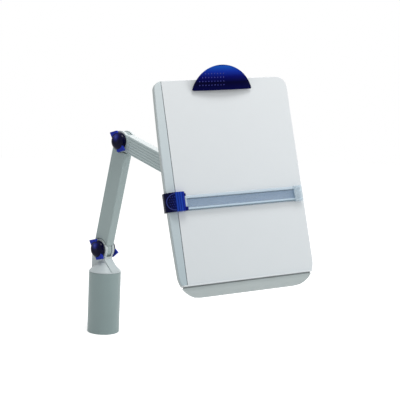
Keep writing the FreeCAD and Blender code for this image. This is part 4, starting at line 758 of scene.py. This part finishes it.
# The plate's colour is painted light: darkest low down and palest blue near the top, a painted
# reflection of a dark room below and bright light above, then darker again at its top edge.
clip_reflection_stops = [(0.0, colour(2, 3, 62)), (0.0115, colour(1, 1, 34)), (0.0200, colour(8, 12, 96)),
              (0.0280, colour(20, 48, 158)), (0.0360, colour(24, 84, 184)),
              (0.0380, colour(8, 30, 108))]
clip_rise = clip_place.to_3x3() @ Vector((0, 0, 1))
clip_blue = paint_light_and_shade_along(blue("clip_blue", colour(4, 6, 70), 0.2, specular=0.03),
                         clip_place.translation, clip_rise, clip_reflection_stops)
finish(clip_blue, "clip_plate")
soft_black = moulded("grip_rubber", colour(30, 30, 34), 0.8, grain=1500.0, depth=0.3)
finish(soft_black, "clip_grip")

plate_mesh = nodes["clip_plate"].data
plate_tree = BVHTree.FromPolygons([vertex.co.copy() for vertex in plate_mesh.vertices],
                                  [tuple(face.vertices) for face in plate_mesh.polygons])
clip_back = clip_place.to_3x3() @ Vector((0, 1, 0))
dot_rows = [(0.0250, 7), (0.0193, 8), (0.0136, 9), (0.0079, 9)]
dot_step = 0.0048
dot_right = 0.0012
ray_start = -0.04
dot_places = []
for height, count in dot_rows:
    for column in range(count):
        start = clip_place @ Vector((dot_right - dot_step * column, ray_start, height))
        spot, normal = plate_tree.ray_cast(start, clip_back)[:2]
        if spot is None:
            continue
        if normal.dot(clip_back) > 0:
            normal = -normal
        turn = normal.to_track_quat("Z", "Y").to_matrix().to_4x4()
        dot_places.append(Matrix.Translation(spot) @ turn)
# The dots' paler blue is a painted highlight on each dot.
dot_highlight_blue = blue("dot_highlight_blue", colour(50, 54, 138), 0.3, specular=0.2)
bead_field("clip_dots", dot_places, dot_highlight_blue, "clip")

pin_height = 0.1510
pin_depth = 0.0020
wire = 0.0011
wire_sides = 12
coil_radius = 0.0026
coil_turns = 7.308
coil_pitch = 0.0013
coil_steps = 175
base_below_pin = 0.0037
free_leg = 0.012
ring_reach = wire * 0.6
coil_length = coil_pitch * coil_turns
coil_spot = (clip_across - coil_length / 2, pin_depth, pin_height)
spring_place = board_place @ Matrix.Translation(coil_spot)
end_angle = 2 * math.pi * coil_turns
coil_start = Vector((0, coil_radius, 0))
coil_end = Vector((coil_length, coil_radius * math.cos(end_angle),
                   coil_radius * math.sin(end_angle)))
clip_front = (spring_place.to_3x3().inverted() @ -clip_back).normalized()
distance = plate_tree.ray_cast(spring_place @ coil_end, -clip_back)[3]
leg_length = free_leg if distance is None else distance - wire / 2


def select_ring(piece, middle, reach):
    """Select the edges of the open ring of wire whose middle is given."""
    mesh = bmesh.from_edit_mesh(piece.data)
    for item in mesh.verts:
        item.select_set(False)
    for edge in mesh.edges:
        near = all((vertex.co - middle).length < reach for vertex in edge.verts)
        edge.select_set(edge.is_boundary and near)
    mesh.select_flush_mode()
    bmesh.update_edit_mesh(piece.data)


bpy.ops.object.select_all(action="DESELECT")
bpy.ops.mesh.primitive_circle_add(vertices=wire_sides, radius=wire / 2, fill_type="NOTHING",
                                  location=coil_start)
spring = bpy.context.object
spring.name = "clip_spring"
bpy.ops.object.transform_apply(location=True)
wind = spring.modifiers.new("wind", "SCREW")
wind.axis = "X"
wind.angle = end_angle
wind.screw_offset = coil_length
wind.steps = coil_steps
wind.render_steps = coil_steps
apply_all(spring)
bpy.ops.object.mode_set(mode="EDIT")
bpy.ops.mesh.select_mode(type="EDGE")
select_ring(spring, coil_start, ring_reach)
bpy.ops.mesh.extrude_region_move(TRANSFORM_OT_translate={"value": (0, 0, -base_below_pin)})
bpy.ops.mesh.edge_face_add()
select_ring(spring, coil_end, ring_reach)
bpy.ops.mesh.extrude_region_move(TRANSFORM_OT_translate={"value": clip_front * leg_length})
bpy.ops.mesh.edge_face_add()
bpy.ops.mesh.select_all(action="SELECT")
bpy.ops.mesh.normals_make_consistent(inside=False)
bpy.ops.mesh.select_mode(type="VERT")
bpy.ops.object.mode_set(mode="OBJECT")
settle(spring, zinc, place=spring_place)
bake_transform(spring)
